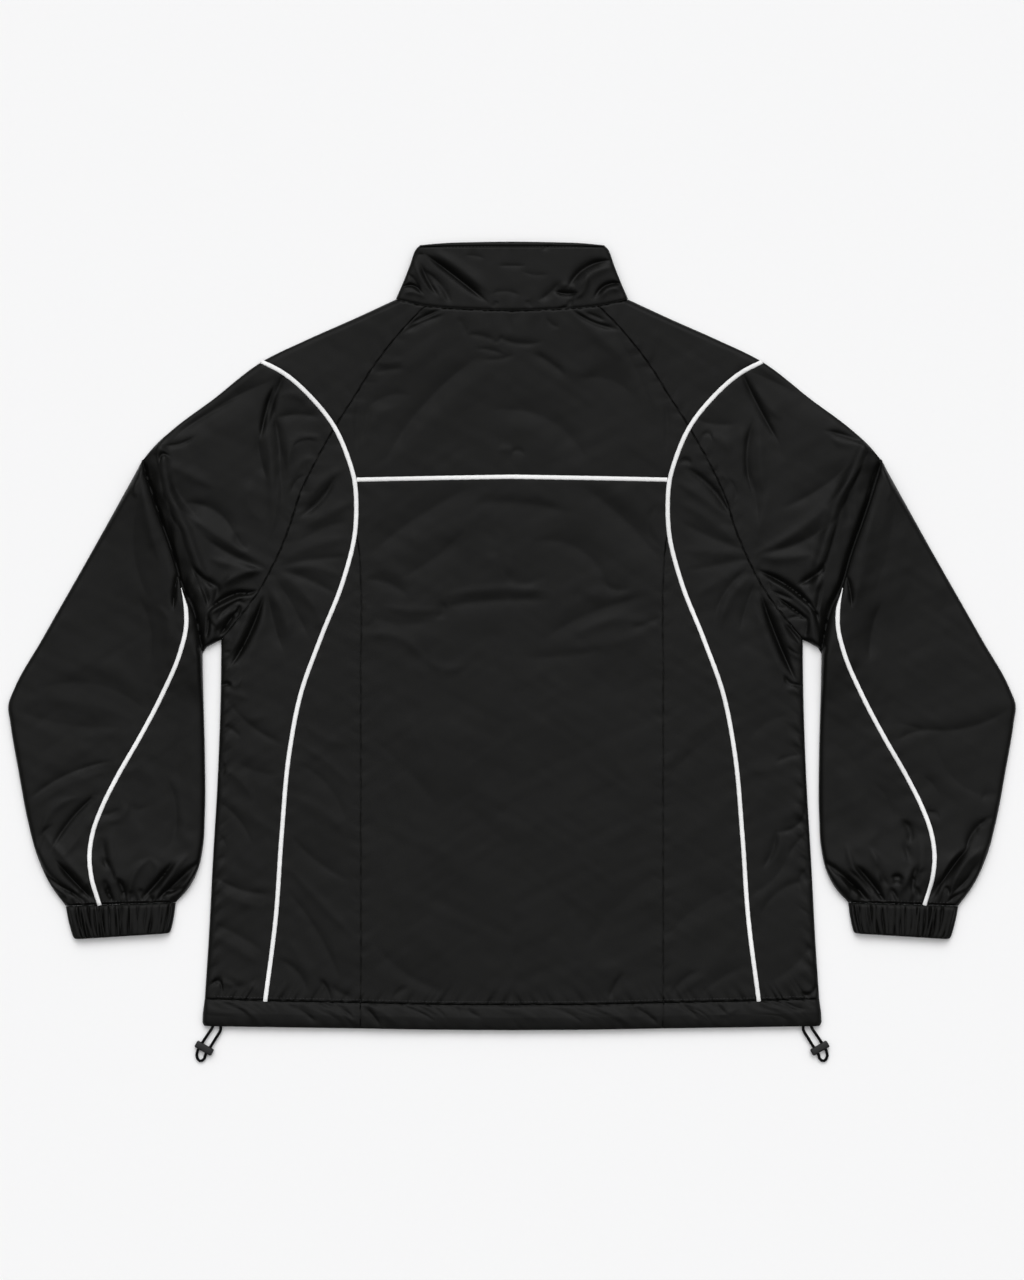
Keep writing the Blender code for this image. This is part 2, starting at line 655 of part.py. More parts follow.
def build_panels(shell, white):
    """Back panels, sleeves and their piping on both sides."""
    shoulder_edge, side_edge = BACK_EDGES
    sleeve_inside, sleeve_outside = FOREARM_EDGES
    every_seam = ("bottom", "top", "left", "right")

    # Shared seam lines of the body, each divided once
    raglan_top = divide(stretch(RAGLAN_SEAM, 0, RAGLAN_CROSSING), RAGLAN_TOP_STEPS)
    raglan_low = divide(stretch(RAGLAN_SEAM, RAGLAN_CROSSING, -1), RAGLAN_LOW_STEPS, end_edge=side_edge)
    piping_top = divide(stretch(BODY_PIPING, PIPING_CROSSING, 0), RAGLAN_TOP_STEPS, end_edge=shoulder_edge)
    piping_yoke_side = divide(stretch(BODY_PIPING, PIPING_CROSSING, PIPING_YOKE), YOKE_SIDE_STEPS)
    piping_back_side = divide(stretch(BODY_PIPING, PIPING_YOKE, PIPING_STRIP), BACK_SIDE_STEPS)
    piping_low = divide_from(stretch(BODY_PIPING, PIPING_STRIP, -1), STRIP_START, PRINCESS_STEPS)
    princess = divide_from(stretch(PRINCESS_SEAM), STRIP_START, PRINCESS_STEPS)
    yoke = divide(stretch(YOKE_SEAM), YOKE_STEPS)
    collar_centre = divide(stretch(COLLAR_SEAM, 0, COLLAR_RAGLAN), YOKE_STEPS)
    collar_side = divide(stretch(COLLAR_SEAM, COLLAR_RAGLAN, -1), RAGLAN_TOP_STEPS, end_edge=shoulder_edge)
    hem_centre = divide(stretch(HEM_SEAM, 0, HEM_PRINCESS), YOKE_STEPS)
    hem_strip = divide(stretch(HEM_SEAM, HEM_PRINCESS, HEM_PIPING), STRIP_STEPS)
    hem_side = divide(stretch(HEM_SEAM, HEM_PIPING, -1), SIDE_STEPS, end_edge=side_edge)

    # Centre pieces
    yoke_sides = join(piping_yoke_side[::-1], raglan_top[::-1])
    yoke_grid = patch(mirrored(yoke), mirrored(collar_centre), yoke_sides * (-1, 1), yoke_sides)
    yoke_cloth = panel("yoke", yoke_grid, "back", shell, every_seam)
    back_sides = join(princess[::-1], piping_back_side[::-1])
    back_grid = patch(mirrored(hem_centre), mirrored(yoke), back_sides * (-1, 1), back_sides)
    back_cloth = panel("centre_back", back_grid, "back", shell, every_seam)
    yoke_trim = PIPING_WIDTH / 2 + 2 * SEAM_GAP
    piping("piping_yoke", border(back_cloth, "top"), border(yoke_cloth, "bottom"), white, yoke_trim, yoke_trim)

    # Side pieces of the body and shoulder
    strip_top = straight(princess[1], piping_low[1], STRIP_STEPS)
    strip_grid = patch(hem_strip, strip_top, princess[:0:-1], piping_low[:0:-1])
    side_seams = join(piping_yoke_side, piping_back_side, piping_low)
    side_grid = patch(hem_side, raglan_low, side_seams[::-1],
                      divide(stretch(SIDE_EDGE), len(side_seams) - 1)[::-1])
    shoulder_grid = patch(collar_side, piping_top, raglan_top,
                          divide(stretch(SHOULDER_EDGE, 0, SHOULDER_PIPING), RAGLAN_TOP_STEPS))

    # Upper sleeve, which goes on a little way under the fold of the forearm
    tucked = tucked_line(stretch(SLEEVE_FOLD))
    sleeve_end = join(divide(stretch(UNDERARM_EDGE), UNDERARM_STEPS), divide(tucked[::-1], TUCK_STEPS))
    sleeve_grid = patch(piping_top, sleeve_end, raglan_low,
                        divide(stretch(SHOULDER_EDGE, SHOULDER_PIPING, -1), ARM_EDGE_STEPS))

    # Forearm, in two pieces either side of its piping
    fold_place = run_length(FOLD_LINE)
    fork = np.interp(SLEEVE_FOLD[FORK_ROW][1], FOLD_LINE[::-1, 1], fold_place[::-1]) + PIPING_FORK
    fold_upper = at_lengths(FOLD_LINE, np.linspace(fork, 0, FINE_STEPS))
    seam_rest = stretch(SLEEVE_PIPING)
    seam_rest = seam_rest[run_length(seam_rest) > PIPING_FORK]
    sleeve_seam = divide(np.vstack([fold_upper[:1], seam_rest]), SLEEVE_SEAM_STEPS, start_edge=sleeve_inside)
    outer_edge = join(divide(stretch(OUTER_SLEEVE_EDGE, 0, ELBOW_ROW), ELBOW_STEPS, start_edge=FOLD_LINE),
                      divide(stretch(OUTER_SLEEVE_EDGE, ELBOW_ROW, -1), FOREARM_EDGE_STEPS))
    fold_run = divide(fold_upper, FOLD_STEPS, end_edge=sleeve_outside)
    cuff_seam = straight(OUTER_SLEEVE_EDGE[-1], INNER_SLEEVE_EDGE[-1], FINE_STEPS)
    cuff_place = np.searchsorted(-cuff_seam[:, 0], -SLEEVE_PIPING[-1][0])
    cuff_outer = divide(np.vstack([SLEEVE_PIPING[-1], cuff_seam[:cuff_place][::-1]]), CUFF_OUTER_STEPS,
                        end_edge=sleeve_outside)
    cuff_inner = divide(np.vstack([cuff_seam[cuff_place:][::-1], SLEEVE_PIPING[-1]]), CUFF_INNER_STEPS,
                        start_edge=sleeve_inside)
    outer_grid = patch(fold_run, cuff_outer, sleeve_seam, outer_edge)
    inside = join(at_lengths(FOLD_LINE, np.linspace(fork, fold_place[-1], FINE_STEPS)),
                  stretch(INNER_SLEEVE_EDGE))
    seam_place = run_length(sleeve_seam)
    inside_edge = at_lengths(inside, seam_place * run_length(inside)[-1] / seam_place[-1])
    first = INNER_START_ROW
    start_share = run_length(cuff_inner)[:, None] / run_length(cuff_inner)[-1]
    start_row = inside_edge[first] * (1 - start_share) + sleeve_seam[first] * start_share
    inner_grid = patch(start_row, cuff_inner, inside_edge[first:], sleeve_seam[first:])

    for name, side in SIDES:
        strip = panel(f"back_side_{name}", reflected(strip_grid, side), "back", shell, every_seam)
        side_cloth = panel(f"side_panel_{name}", reflected(side_grid, side), "back", shell,
                           ("bottom", "top", "left"))
        shoulder = panel(f"shoulder_{name}", reflected(shoulder_grid, side), "back", shell,
                         ("bottom", "top", "left"))
        sleeve = panel(f"upper_sleeve_{name}", reflected(sleeve_grid, side), "back", shell, ("bottom", "left"))
        outer = panel(f"forearm_outer_{name}", reflected(outer_grid, side), "forearm", shell, ("top", "left"))
        inner = panel(f"forearm_inner_{name}", reflected(inner_grid, side), "forearm", shell,
                      ("top", "bottom", "right"))

        # Body piping: shoulder and sleeve first, then yoke, back and strip against the side panel
        low_side = tuple(line[::-1] for line in border(side_cloth, "left"))
        centre_side = "left" if side == LEFT else "right"
        yoke_part = tuple(line[::-1][-YOKE_SIDE_STEPS - 1:] for line in border(yoke_cloth, centre_side))
        back_part = tuple(line[::-1][:BACK_SIDE_STEPS + 1] for line in border(back_cloth, centre_side))
        strip_part = tuple(line[::-1] for line in border(strip, "right"))
        body_in = chain(tuple(line[::-1] for line in border(shoulder, "top")), yoke_part, back_part, strip_part)
        body_out = chain(tuple(line[::-1] for line in border(sleeve, "bottom")), low_side)
        body_in = matched(body_in, body_out)
        piping(f"piping_body_{name}", body_in, body_out, white)
        sleeve_out = tuple(line[first:] for line in border(outer, "left"))
        piping(f"piping_sleeve_{name}", border(inner, "right"), sleeve_out, white)


def divide_from(line, first, steps):
    """Points along a line with one short step before the even ones."""
    total = run_length(line)[-1]
    return at_lengths(line, [0] + list(np.linspace(first, total, steps + 1)))


def straight(start, end, steps):
    """Evenly spaced points from start to end."""
    share = np.linspace(0, 1, steps + 1)[:, None]
    return np.array(start) * (1 - share) + np.array(end) * share


def tucked_line(fold):
    """The fold line moved under the forearm, back to the fold line at its two ends."""
    share = run_length(fold) / run_length(fold)[-1]
    tangent = np.gradient(fold, axis=0)
    outward = np.stack([-tangent[:, 1], tangent[:, 0]], axis=1)
    outward /= np.linalg.norm(outward, axis=1)[:, None]
    return fold + outward * (TUCK * np.sin(math.pi * share) ** 0.7)[:, None]


def matched(lines, others):
    """The lines with as many points as the others, each next to its partner."""
    picked = [np.linalg.norm(lines[0] - point, axis=1).argmin() for point in others[0]]
    return tuple(line[picked] for line in lines)


def build_under(shell):
    """Fronts and sleeve undersides, flat on the floor and turned up along their edges."""
    outer_edge, inner_edge = UNDER_EDGES
    raglan = divide(stretch(FRONT_RAGLAN_SEAM), FRONT_RAGLAN_STEPS, end_edge=inner_edge, reach=UNDER_ROLL)
    neck = stretch(FRONT_NECK_SEAM)
    split = int(nearest_on(raglan[:1], neck)[2][0])
    raglan[0] = neck[split]
    hem = stretch(HEM_SEAM)
    hem = np.vstack([(ZIP_OPENING, hem[0][1]), hem[hem[:, 0] > ZIP_OPENING]])
    front_hem = divide(hem, SIDE_STEPS, end_edge=inner_edge, reach=UNDER_ROLL)
    front_top = join(divide(neck[:split + 1], NECK_STEPS), raglan)
    plain_ups = np.linspace(hem[0][1], FRONT_LIFT_START, ZIP_EDGE_STEPS + 1)[:-1]
    zip_ups = np.concatenate([plain_ups, lift_stations(), neck[:1, 1]])
    zip_edge = np.column_stack([np.full(len(zip_ups), ZIP_OPENING), zip_ups])
    front_grid = patch(front_hem, front_top, zip_edge, divide(stretch(SIDE_EDGE), len(zip_ups) - 1)[::-1])

    inside = join(raglan, divide(stretch(UNDERARM_EDGE), 1),
                  divide(stretch(INNER_SLEEVE_EDGE), UNDER_INSIDE_STEPS))
    arm_steps, elbow_steps, forearm_steps = UNDER_EDGE_STEPS
    outside = join(divide(stretch(SHOULDER_EDGE), arm_steps),
                   divide(stretch(OUTER_SLEEVE_EDGE, 0, ELBOW_ROW), elbow_steps),
                   divide(stretch(OUTER_SLEEVE_EDGE, ELBOW_ROW, -1), forearm_steps))
    cuff_line = straight(INNER_SLEEVE_EDGE[-1], OUTER_SLEEVE_EDGE[-1], FINE_STEPS)
    cuff_row = divide(cuff_line, 2, start_edge=inner_edge, end_edge=outer_edge, reach=UNDER_ROLL)
    neck_side = neck[split:]
    shares = run_length(cuff_row) / run_length(cuff_row)[-1]
    neck_row = at_lengths(neck_side, shares * run_length(neck_side)[-1])
    sleeve_grid = patch(neck_row, cuff_row, inside, outside)

    for name, side in SIDES:
        panel(f"front_{name}", reflected(front_grid, side), "under", shell, ("bottom", "top", "left"))
        sleeve = reflected(sleeve_grid, side)
        seam_rows = len(raglan)
        part = trimmed(sleeve, ("bottom", "top", "left"))
        part[seam_rows - 1:-1, 0] = sleeve[seam_rows - 1:-1, 0]
        outer, normals = raised(part, "under")
        wall(f"sleeve_front_{name}", outer, outer - normals * CLOTH, shell)


def line_height(rows, out):
    """How far up a line that runs outwards is, at distances from the centre line."""
    line = stretch(rows)
    return np.interp(np.abs(out), line[:, 0], line[:, 1])


def build_collar(shell):
    """Stand collar lying flat: one wall from zip edge to zip edge, round both sides."""
    middle = (COLLAR_LIFT + COLLAR_HEIGHT) / 2
    half = (COLLAR_HEIGHT - COLLAR_LIFT) / 2
    angles = np.radians(np.linspace(-90, 90, COLLAR_ROLL_STEPS + 1))
    base_width, side_base, centre_base = COLLAR_ROWS[0]
    front_run, back_run = np.ones(COLLAR_FRONT_STEPS), np.ones(COLLAR_BACK_STEPS)
    outer, inner = [], []
    for width, up_side, up_centre in COLLAR_ROWS:
        flat = width - COLLAR_ROLL
        front = np.linspace(ZIP_OPENING, flat, COLLAR_FRONT_STEPS + 1)[:-1]
        back = np.linspace(flat, 0, COLLAR_BACK_STEPS + 1)[1:]
        out = np.concatenate([front, flat + COLLAR_ROLL * np.cos(angles), back])
        height = np.concatenate([front_run * COLLAR_LIFT, middle + half * np.sin(angles),
                                 back_run * COLLAR_HEIGHT])
        normal_out = np.concatenate([front_run * 0, np.cos(angles), back_run * 0])
        normal_up = np.concatenate([-front_run, np.sin(angles), back_run])
        seam_out = out / width * base_width
        bend = (line_height(COLLAR_SEAM, seam_out) - centre_base) / (side_base - centre_base)
        drop = line_height(COLLAR_SEAM, seam_out) - line_height(FRONT_NECK_SEAM, seam_out)
        lower = ease((1 - normal_up) / 2)
        up = up_centre + (up_side - up_centre) * bend - (drop - HIDDEN_GAP) * lower
        sunk = folds_of("collar", np.column_stack([out, up])) * (1 - lower)
        half_outer = np.column_stack([out, up, height + sunk])
        half_inner = half_outer - np.column_stack([normal_out, np.zeros(len(out)), normal_up]) * BAND
        flip = (-1, 1, 1)
        outer.append(np.vstack([half_outer, half_outer[-2::-1] * flip]))
        inner.append(np.vstack([half_inner, half_inner[-2::-1] * flip]))
    outer, inner = np.array(outer), np.array(inner)
    for grid in (outer, inner):
        grid[0, :, 1] += SEAM_GAP / 2
    wall("collar", outer, inner, shell)


def build_hem(shell):
    """Hem tunnel: a centre strip at the back and one from each princess seam round to the zip."""
    seam_out = PRINCESS_SEAM[-1][0]
    turn = np.linspace(0, math.pi / 2, ROLL_STEPS + 1)
    back_turn = turn[::-1][1:]
    top_run, low_run = np.ones(HEM_TOP_STEPS), np.ones(HEM_UNDER_STEPS)
    centre = np.linspace(-1, 1, HEM_CENTRE_STEPS + 1) * (seam_out - SEAM_GAP / 2)
    centre_rows, side_outer, side_inner = [], [], []
    for share, edge, bulge in HEM_ROWS:
        level = BACK_HEIGHT + bulge
        up = line_height(HEM_SEAM, centre) * (1 - share) + line_height(HEM_EDGE, centre) * share
        centre_rows.append(np.column_stack([centre, up, np.full(len(centre), level)]))

        top_out = np.linspace(seam_out + SEAM_GAP / 2, edge - ROLL, HEM_TOP_STEPS + 1)[:-1]
        low_out = np.linspace(edge - UNDER_ROLL, ZIP_OPENING, HEM_UNDER_STEPS + 1)[1:]
        out = np.concatenate([top_out, edge - ROLL * (1 - np.sin(turn)),
                              edge - UNDER_ROLL * (1 - np.sin(back_turn)), low_out])
        height = np.concatenate([top_run * level, EDGE_HEIGHT + (level - EDGE_HEIGHT) * np.cos(turn),
                                 EDGE_HEIGHT * (1 - np.cos(back_turn)), low_run * 0])
        normal_out = np.concatenate([top_run * 0, np.sin(turn), np.sin(back_turn), low_run * 0])
        normal_up = np.concatenate([top_run, np.cos(turn), -np.cos(back_turn), -low_run])
        up = line_height(HEM_SEAM, out) * (1 - share) + line_height(HEM_EDGE, out) * share
        points = np.column_stack([out, up, height])
        side_outer.append(points)
        side_inner.append(points - np.column_stack([normal_out, np.zeros(len(out)), normal_up]) * BAND)
    centre_rows = np.array(centre_rows)
    centre_rows[0, :, 1] -= SEAM_GAP / 2
    wall("hem_back", centre_rows, centre_rows - (0, 0, BAND), shell)
    side_outer, side_inner = np.array(side_outer), np.array(side_inner)
    for grid in (side_outer, side_inner):
        grid[0, :, 1] -= SEAM_GAP / 2
    for name, side in SIDES:
        wall(f"hem_{name}", side_outer * (side, 1, 1), side_inner * (side, 1, 1), shell)


def build_cuffs(shell):
    """Gathered cuffs: flattened rings whose top is raised in ribs, plain inside and flat below."""
    half = CUFF_HEIGHT / 2
    turn = np.radians(np.linspace(-90, 90, CUFF_TURN_STEPS + 1))
    out_turn, in_turn = turn[::-1][1:], turn[:-1]
    index = np.arange(RIBS + 1)
    rib_ends = index + RIB_UNEVEN * np.sin(RIB_PHASE * index) * (index < RIBS)
    marks, rise = [0.0], [0.0]
    for low, high in zip(rib_ends, rib_ends[1:]):
        marks += [low + (high - low) * RIB_FLANKS[0], low + (high - low) * RIB_FLANKS[1], high]
        rise += [RIB_HEIGHT, RIB_HEIGHT, 0.0]
    marks, rise = np.array(marks) / marks[-1], np.array(rise)
    under = np.linspace(1, 0, CUFF_TURN_STEPS)[1:-1]

    def section(radius, top_height, low_height, width):
        """Distances across the cuff and heights of one closed section at a radius from the turn's middle."""
        across = [half + (width - 2 * half) * marks, width - half + radius * np.cos(out_turn),
                  half + (width - 2 * half) * under, half - radius * np.cos(in_turn)]
        heights = [top_height, half + radius * np.sin(out_turn), np.full(len(under), low_height),
                   half + radius * np.sin(in_turn)]
        return np.concatenate(across), np.concatenate(heights)

    for name, side in SIDES:
        outer, inner = [], []
        for start, end in CUFF_ROWS:
            start, end = np.array(start), np.array(end)
            width = np.linalg.norm(end - start)
            across = (end - start) / width
            plain_top = np.full(len(marks), CUFF_HEIGHT - BAND)
            for rows, radius, top, low in ((outer, half, CUFF_HEIGHT + rise, 0.0),
                                           (inner, half - BAND, plain_top, BAND)):
                run, level = section(radius, top, low, width)
                rows.append(np.column_stack([start + run[:, None] * across, level]))
        outer = np.array(outer).transpose(1, 0, 2) * (side, 1, 1)
        inner = np.array(inner).transpose(1, 0, 2) * (side, 1, 1)
        wall(f"cuff_{name}", outer, inner, shell, closed=True)


def lift_stations():
    """Places up the zip where the fronts rise towards the collar."""
    return np.linspace(FRONT_LIFT_START, FRONT_LIFT_END, LIFT_STEPS + 1)


def front_lift(up):
    """Height that the fronts are raised by towards the collar."""
    return COLLAR_LIFT * ease((up - FRONT_LIFT_START) / (FRONT_LIFT_END - FRONT_LIFT_START))


def bar(name, out_low, out_high, bottom, top, ups, finish):
    """Strip along the zip that follows the lift of the fronts."""
    lift = front_lift(ups)
    ring = []
    for out, level in ((out_low, bottom), (out_high, bottom), (out_high, top), (out_low, top)):
        ring.append(np.column_stack([np.full(len(ups), out), ups, lift + level]))
    return tube(name, np.array(ring), finish)


def build_zip(tape, coil, metal):
    """Closed zip up the centre front: tapes, coil, slider at the top and its hinged pull."""
    ups = np.concatenate([[ZIP_BOTTOM], lift_stations(), [ZIP_TOP]])
    inner_side = COIL_WIDTH / 2 + SEAM_GAP
    outer_side = inner_side + TAPE_WIDTH
    for name, side in SIDES:
        bar(f"zip_tape_{name}", side * inner_side, side * outer_side, TAPE_BASE, TAPE_BASE + TAPE_THICKNESS,
            ups, tape)
    coil_low = TAPE_BASE + TAPE_THICKNESS / 2 - COIL_THICKNESS / 2
    bar("zip_coil", -COIL_WIDTH / 2, COIL_WIDTH / 2, coil_low, coil_low + COIL_THICKNESS, ups, coil)

    low = COLLAR_LIFT + coil_low - SEAM_GAP - SLIDER_PLATE
    high = COLLAR_LIFT + coil_low + COIL_THICKNESS + SEAM_GAP + SLIDER_PLATE
    end = ZIP_TOP + SLIDER_POST + SEAM_GAP
    start = end - SLIDER_LENGTH
    profile = ((start, low), (end, low), (end, high), (start, high), (start, high - SLIDER_PLATE),
               (end - SLIDER_POST, high - SLIDER_PLATE), (end - SLIDER_POST, low + SLIDER_PLATE),
               (start, low + SLIDER_PLATE))
    sides = (-SLIDER_WIDTH / 2, SLIDER_WIDTH / 2)
    ring = np.array([[(out, up, level) for out in sides] for up, level in profile])
    slider = tube("zip_slider", ring, metal)
    hinge_up, hinge_height = (start + end) / 2, low - PIN_DROP
    lug_low, lug_high = hinge_height - LUG_THICKNESS, low + LUG_SINK
    for name, side in SIDES:
        lug = block(f"lug_{name}", (side * LUG_OUT, hinge_up, (lug_low + lug_high) / 2),
                    (LUG_THICKNESS, LUG_LENGTH, lug_high - lug_low), metal)
        fuse(slider, lug)
    pin = rod("hinge_pin", (0, hinge_up, hinge_height), PIN_RADIUS, 2 * LUG_OUT, metal)
    fuse(slider, pin)

    hinge = bpy.data.objects.new("pull_hinge", None)
    hinge.location = (0, hinge_up * MM, hinge_height * MM)
    bpy.context.scene.collection.objects.link(hinge)
    build_pull(metal, hinge)


def build_pull(metal, hinge):
    """Flat pull tab with an eye round the hinge pin, hanging towards the hem; origin on the pin's axis."""
    outline = [(-out, -down) for out, down in PULL_OUTLINE] + [(out, -down) for out, down in PULL_OUTLINE[::-1]]
    ring = np.array([[(out, up, level) for level in (-PULL_THICKNESS / 2, PULL_THICKNESS / 2)]
                     for out, up in outline])
    pull = tube("zip_pull", ring, metal)
    pull.parent = hinge
    eye = rod("pull_eye", (0, 0, 0), EYE_RADIUS, EYE_WIDTH, metal)
    fuse(pull, eye)
    hole = rod("pull_hole", (0, 0, 0), PIN_RADIUS + SEAM_GAP, EYE_WIDTH + CUTTER_OVERHANG, metal)
    fuse(pull, hole, "DIFFERENCE")


def rod(name, centre, radius, length, finish):
    """Round rod along the out direction."""
    turns = np.linspace(0, 2 * math.pi, ROD_SIDES + 1)[:-1]
    ring = np.array([[(centre[0] + end * length / 2, centre[1] + radius * math.cos(a),
                       centre[2] + radius * math.sin(a)) for end in (-1, 1)] for a in turns])
    return tube(name, ring, finish)


def block(name, centre, size, finish):
    """Straight-sided block."""
    corners = ((-0.5, -0.5), (0.5, -0.5), (0.5, 0.5), (-0.5, 0.5))
    ring = np.array([[(centre[0] + x * size[0], centre[1] + y * size[1], centre[2] + z * size[2])
                      for z in (-0.5, 0.5)] for x, y in corners])
    return tube(name, ring, finish)


def fuse(body, other, operation="UNION"):
    """Joins or cuts the body with another piece, which becomes a guide."""
    step = body.modifiers.new(other.name, "BOOLEAN")
    step.operation = operation
    step.object = other
    other.hide_render = True
    other.display_type = "WIRE"
    other.parent = body.parent


def build_drawcords(cord_finish, lock_finish):
    """Shock cord out of the hem at each side, through its two-hole lock and back."""
    route = smooth_line(CORD_ROUTE)
    points = at_lengths(route, np.linspace(0, run_length(route)[-1], CORD_POINTS))
    for name, side in SIDES:
        curve = bpy.data.curves.new(f"drawcord_{name}", "CURVE")
        curve.dimensions = "3D"
        curve.bevel_depth = CORD_RADIUS * MM
        curve.bevel_resolution = CORD_BEVEL
        curve.use_fill_caps = True
        spline = curve.splines.new("POLY")
        spline.points.add(len(points) - 1)
        for point, (out, up, height) in zip(spline.points, points):
            point.co = (side * out * MM, up * MM, height * MM, 1)
        curve.materials.append(cord_finish)
        cord = bpy.data.objects.new(f"drawcord_{name}", curve)
        bpy.context.scene.collection.objects.link(cord)
        build_lock(name, side, lock_finish)


def build_lock(name, side, finish):
    """Cord lock: a bar with chamfered ends and a hole for each run of the cord."""
    tilt = math.radians(LOCK_TILT)
    along = np.array((math.cos(tilt), math.sin(tilt)))
    square = np.array((-along[1], along[0]))
    outline = [np.array(LOCK_CENTRE) + along * a * LOCK_LENGTH / 2 + square * b * LOCK_DEPTH / 2
               for a, b in LOCK_OUTLINE]
    levels = (0.0, LOCK_HEIGHT)
    ring = np.array([[(side * out, up, level) for level in levels] for out, up in outline])
    lock = tube(f"cord_lock_{name}", ring, finish)
    for k, shift in enumerate((-LOCK_HOLE_GAP / 2, LOCK_HOLE_GAP / 2)):
        centre = np.array(LOCK_CENTRE) + along * shift
        ends = (centre - square * LOCK_DEPTH, centre + square * LOCK_DEPTH)
        ring = []
        for turn in np.linspace(0, 2 * math.pi, LOCK_HOLE_SIDES + 1)[:-1]:
            spread = along * LOCK_HOLE_RADIUS * math.cos(turn)
            level = LOCK_HEIGHT / 2 + LOCK_HOLE_RADIUS * math.sin(turn)
            ring.append([(side * (end + spread)[0], (end + spread)[1], level) for end in ends])
        hole = tube(f"lock_hole_{name}_{k}", np.array(ring), finish)
        fuse(lock, hole, "DIFFERENCE")


def main():
    for old in list(bpy.data.objects):
        bpy.data.objects.remove(old, do_unlink=True)
    shell = material("shell_cloth", (0.013, 0.013, 0.014), 0.42)
    white = material("white_piping", (0.86, 0.86, 0.85), 0.5)
    band = material("band_cloth", (0.012, 0.012, 0.013), 0.45)
    tape = material("zip_tape", (0.015, 0.015, 0.016), 0.7)
    coil = material("zip_coil", (0.02, 0.02, 0.022), 0.35)
    metal = material("black_metal", (0.03, 0.03, 0.032), 0.3, 0.9)
    cord = material("shock_cord", (0.012, 0.012, 0.013), 0.6)
    plastic = material("lock_plastic", (0.04, 0.04, 0.042), 0.4)
    build_panels(shell, white)
    build_under(shell)
    build_collar(shell)
    build_hem(band)
    build_cuffs(band)
    build_zip(tape, coil, metal)
    build_drawcords(cord, plastic)


if __name__ == "__main__":
    main()
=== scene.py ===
"""Track jacket laid face down on a pale studio floor, seen from straight above.

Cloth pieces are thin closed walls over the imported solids. Out is the distance from the centre line, x is
signed, up is the distance towards the collar, and lengths are millimetres until they become mesh points.
"""

import math

import bmesh
import bpy
import numpy as np
from bpy.props import FloatProperty, FloatVectorProperty, IntProperty, PointerProperty
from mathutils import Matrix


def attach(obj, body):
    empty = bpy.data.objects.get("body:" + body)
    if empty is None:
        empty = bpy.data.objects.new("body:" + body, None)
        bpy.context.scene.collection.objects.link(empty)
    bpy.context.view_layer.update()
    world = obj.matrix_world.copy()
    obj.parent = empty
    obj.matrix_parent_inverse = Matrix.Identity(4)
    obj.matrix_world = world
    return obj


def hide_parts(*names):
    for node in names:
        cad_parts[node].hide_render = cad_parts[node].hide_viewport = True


bl_info = {
    "name": "Track jacket",
    "version": (1, 0, 0),
    "blender": (4, 5, 0),
    "location": "3D View > Sidebar > Jacket",
    "description": "Builds the looks of a raglan track jacket that lies flat on a studio floor",
    "category": "Object",
}

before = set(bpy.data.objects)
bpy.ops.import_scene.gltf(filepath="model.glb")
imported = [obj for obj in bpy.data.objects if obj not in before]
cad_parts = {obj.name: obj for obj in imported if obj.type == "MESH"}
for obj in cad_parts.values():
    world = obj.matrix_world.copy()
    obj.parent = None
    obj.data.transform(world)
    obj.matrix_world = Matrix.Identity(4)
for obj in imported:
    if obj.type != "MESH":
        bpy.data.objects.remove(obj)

MM = 0.001
SIDES = (("left", -1), ("right", 1))
BODY = "jacket"

# Half the gap that is left where edges meet
SEW_GAP = 0.15

# Heights above the floor, and where cloth above and below it meets at a rolled edge
BACK_HEIGHT = 8.0
EDGE_HEIGHT = 3.6
UPPER_EDGE = EDGE_HEIGHT + SEW_GAP
FOREARM_HEIGHT = 8.6
COLLAR_HEIGHT = 10.8
COLLAR_LIFT = 3.0
CUFF_HEIGHT = 6.8
NECK_RISE = 2.2
NECK_REACH = 60.0
LEAST_HEIGHT = 1.6
UNDER_GAP = 0.08

# Where the fronts rise towards the collar
FRONT_LIFT_START = 255.0
FRONT_LIFT_END = 295.0
FRONT_LIFT_OUT = 140.0
FRONT_LIFT_FADE = 50.0

# Fold of the forearm over the upper sleeve
FOLD_RISE = 7.4
FOLD_REACH = 42.0
FOLD_CLEARANCE = 0.6
FOLD_EDGE_REACH = 5.0
FOLD_TUCK = 2.5
FOLD_BULGE = 0.3
FOLD_BULGE_HEIGHT = 12.0
ELBOW_FADE = 3.0

# Upright part of that fold's side, as rows of up on the fold line and share; its width and the roll above it
FOLD_WALL = ((-13.4, 0.2), (28, 0.4), (52, 0.6), (150, 0.62), (175, 0.3))
FOLD_WALL_WIDTH = 1.3
FOLD_ROLL = 10.0
TUCK = 9.0

# Valley beside that fold, as rows of up on the fold line and width; its floor and the ridge along it
VALLEYS = {
    "left": ((-14, 2), (8, 9), (30, 15), (50, 16.5), (65, 15.5), (80, 14), (100, 14.2), (120, 12), (140, 10.5),
             (160, 12.5), (175, 15)),
    "right": ((-14, 1), (10, 8), (30, 13), (52, 20), (65, 22.5), (80, 22), (100, 23), (120, 24), (140, 21.5),
              (160, 18.5), (175, 16.5)),
}
VALLEY_TOP = 9.0
VALLEY_LOW = 1.9
VALLEY_SLOPE = 2.4
VALLEY_STEPS = {"left": (0.15, 1.8), "right": (0.3, 4.0)}
VALLEY_BEND = 0.58
VALLEY_CRUMPLE = 1.1
VALLEY_RIDGE = 3.2
VALLEY_RIDGE_WIDTH = 6.0

# Rolled edges: how far in the roll starts, above and below the edge height
ROLL = 7.0
UNDER_ROLL = 4.5
LEAST_RISE = 0.2

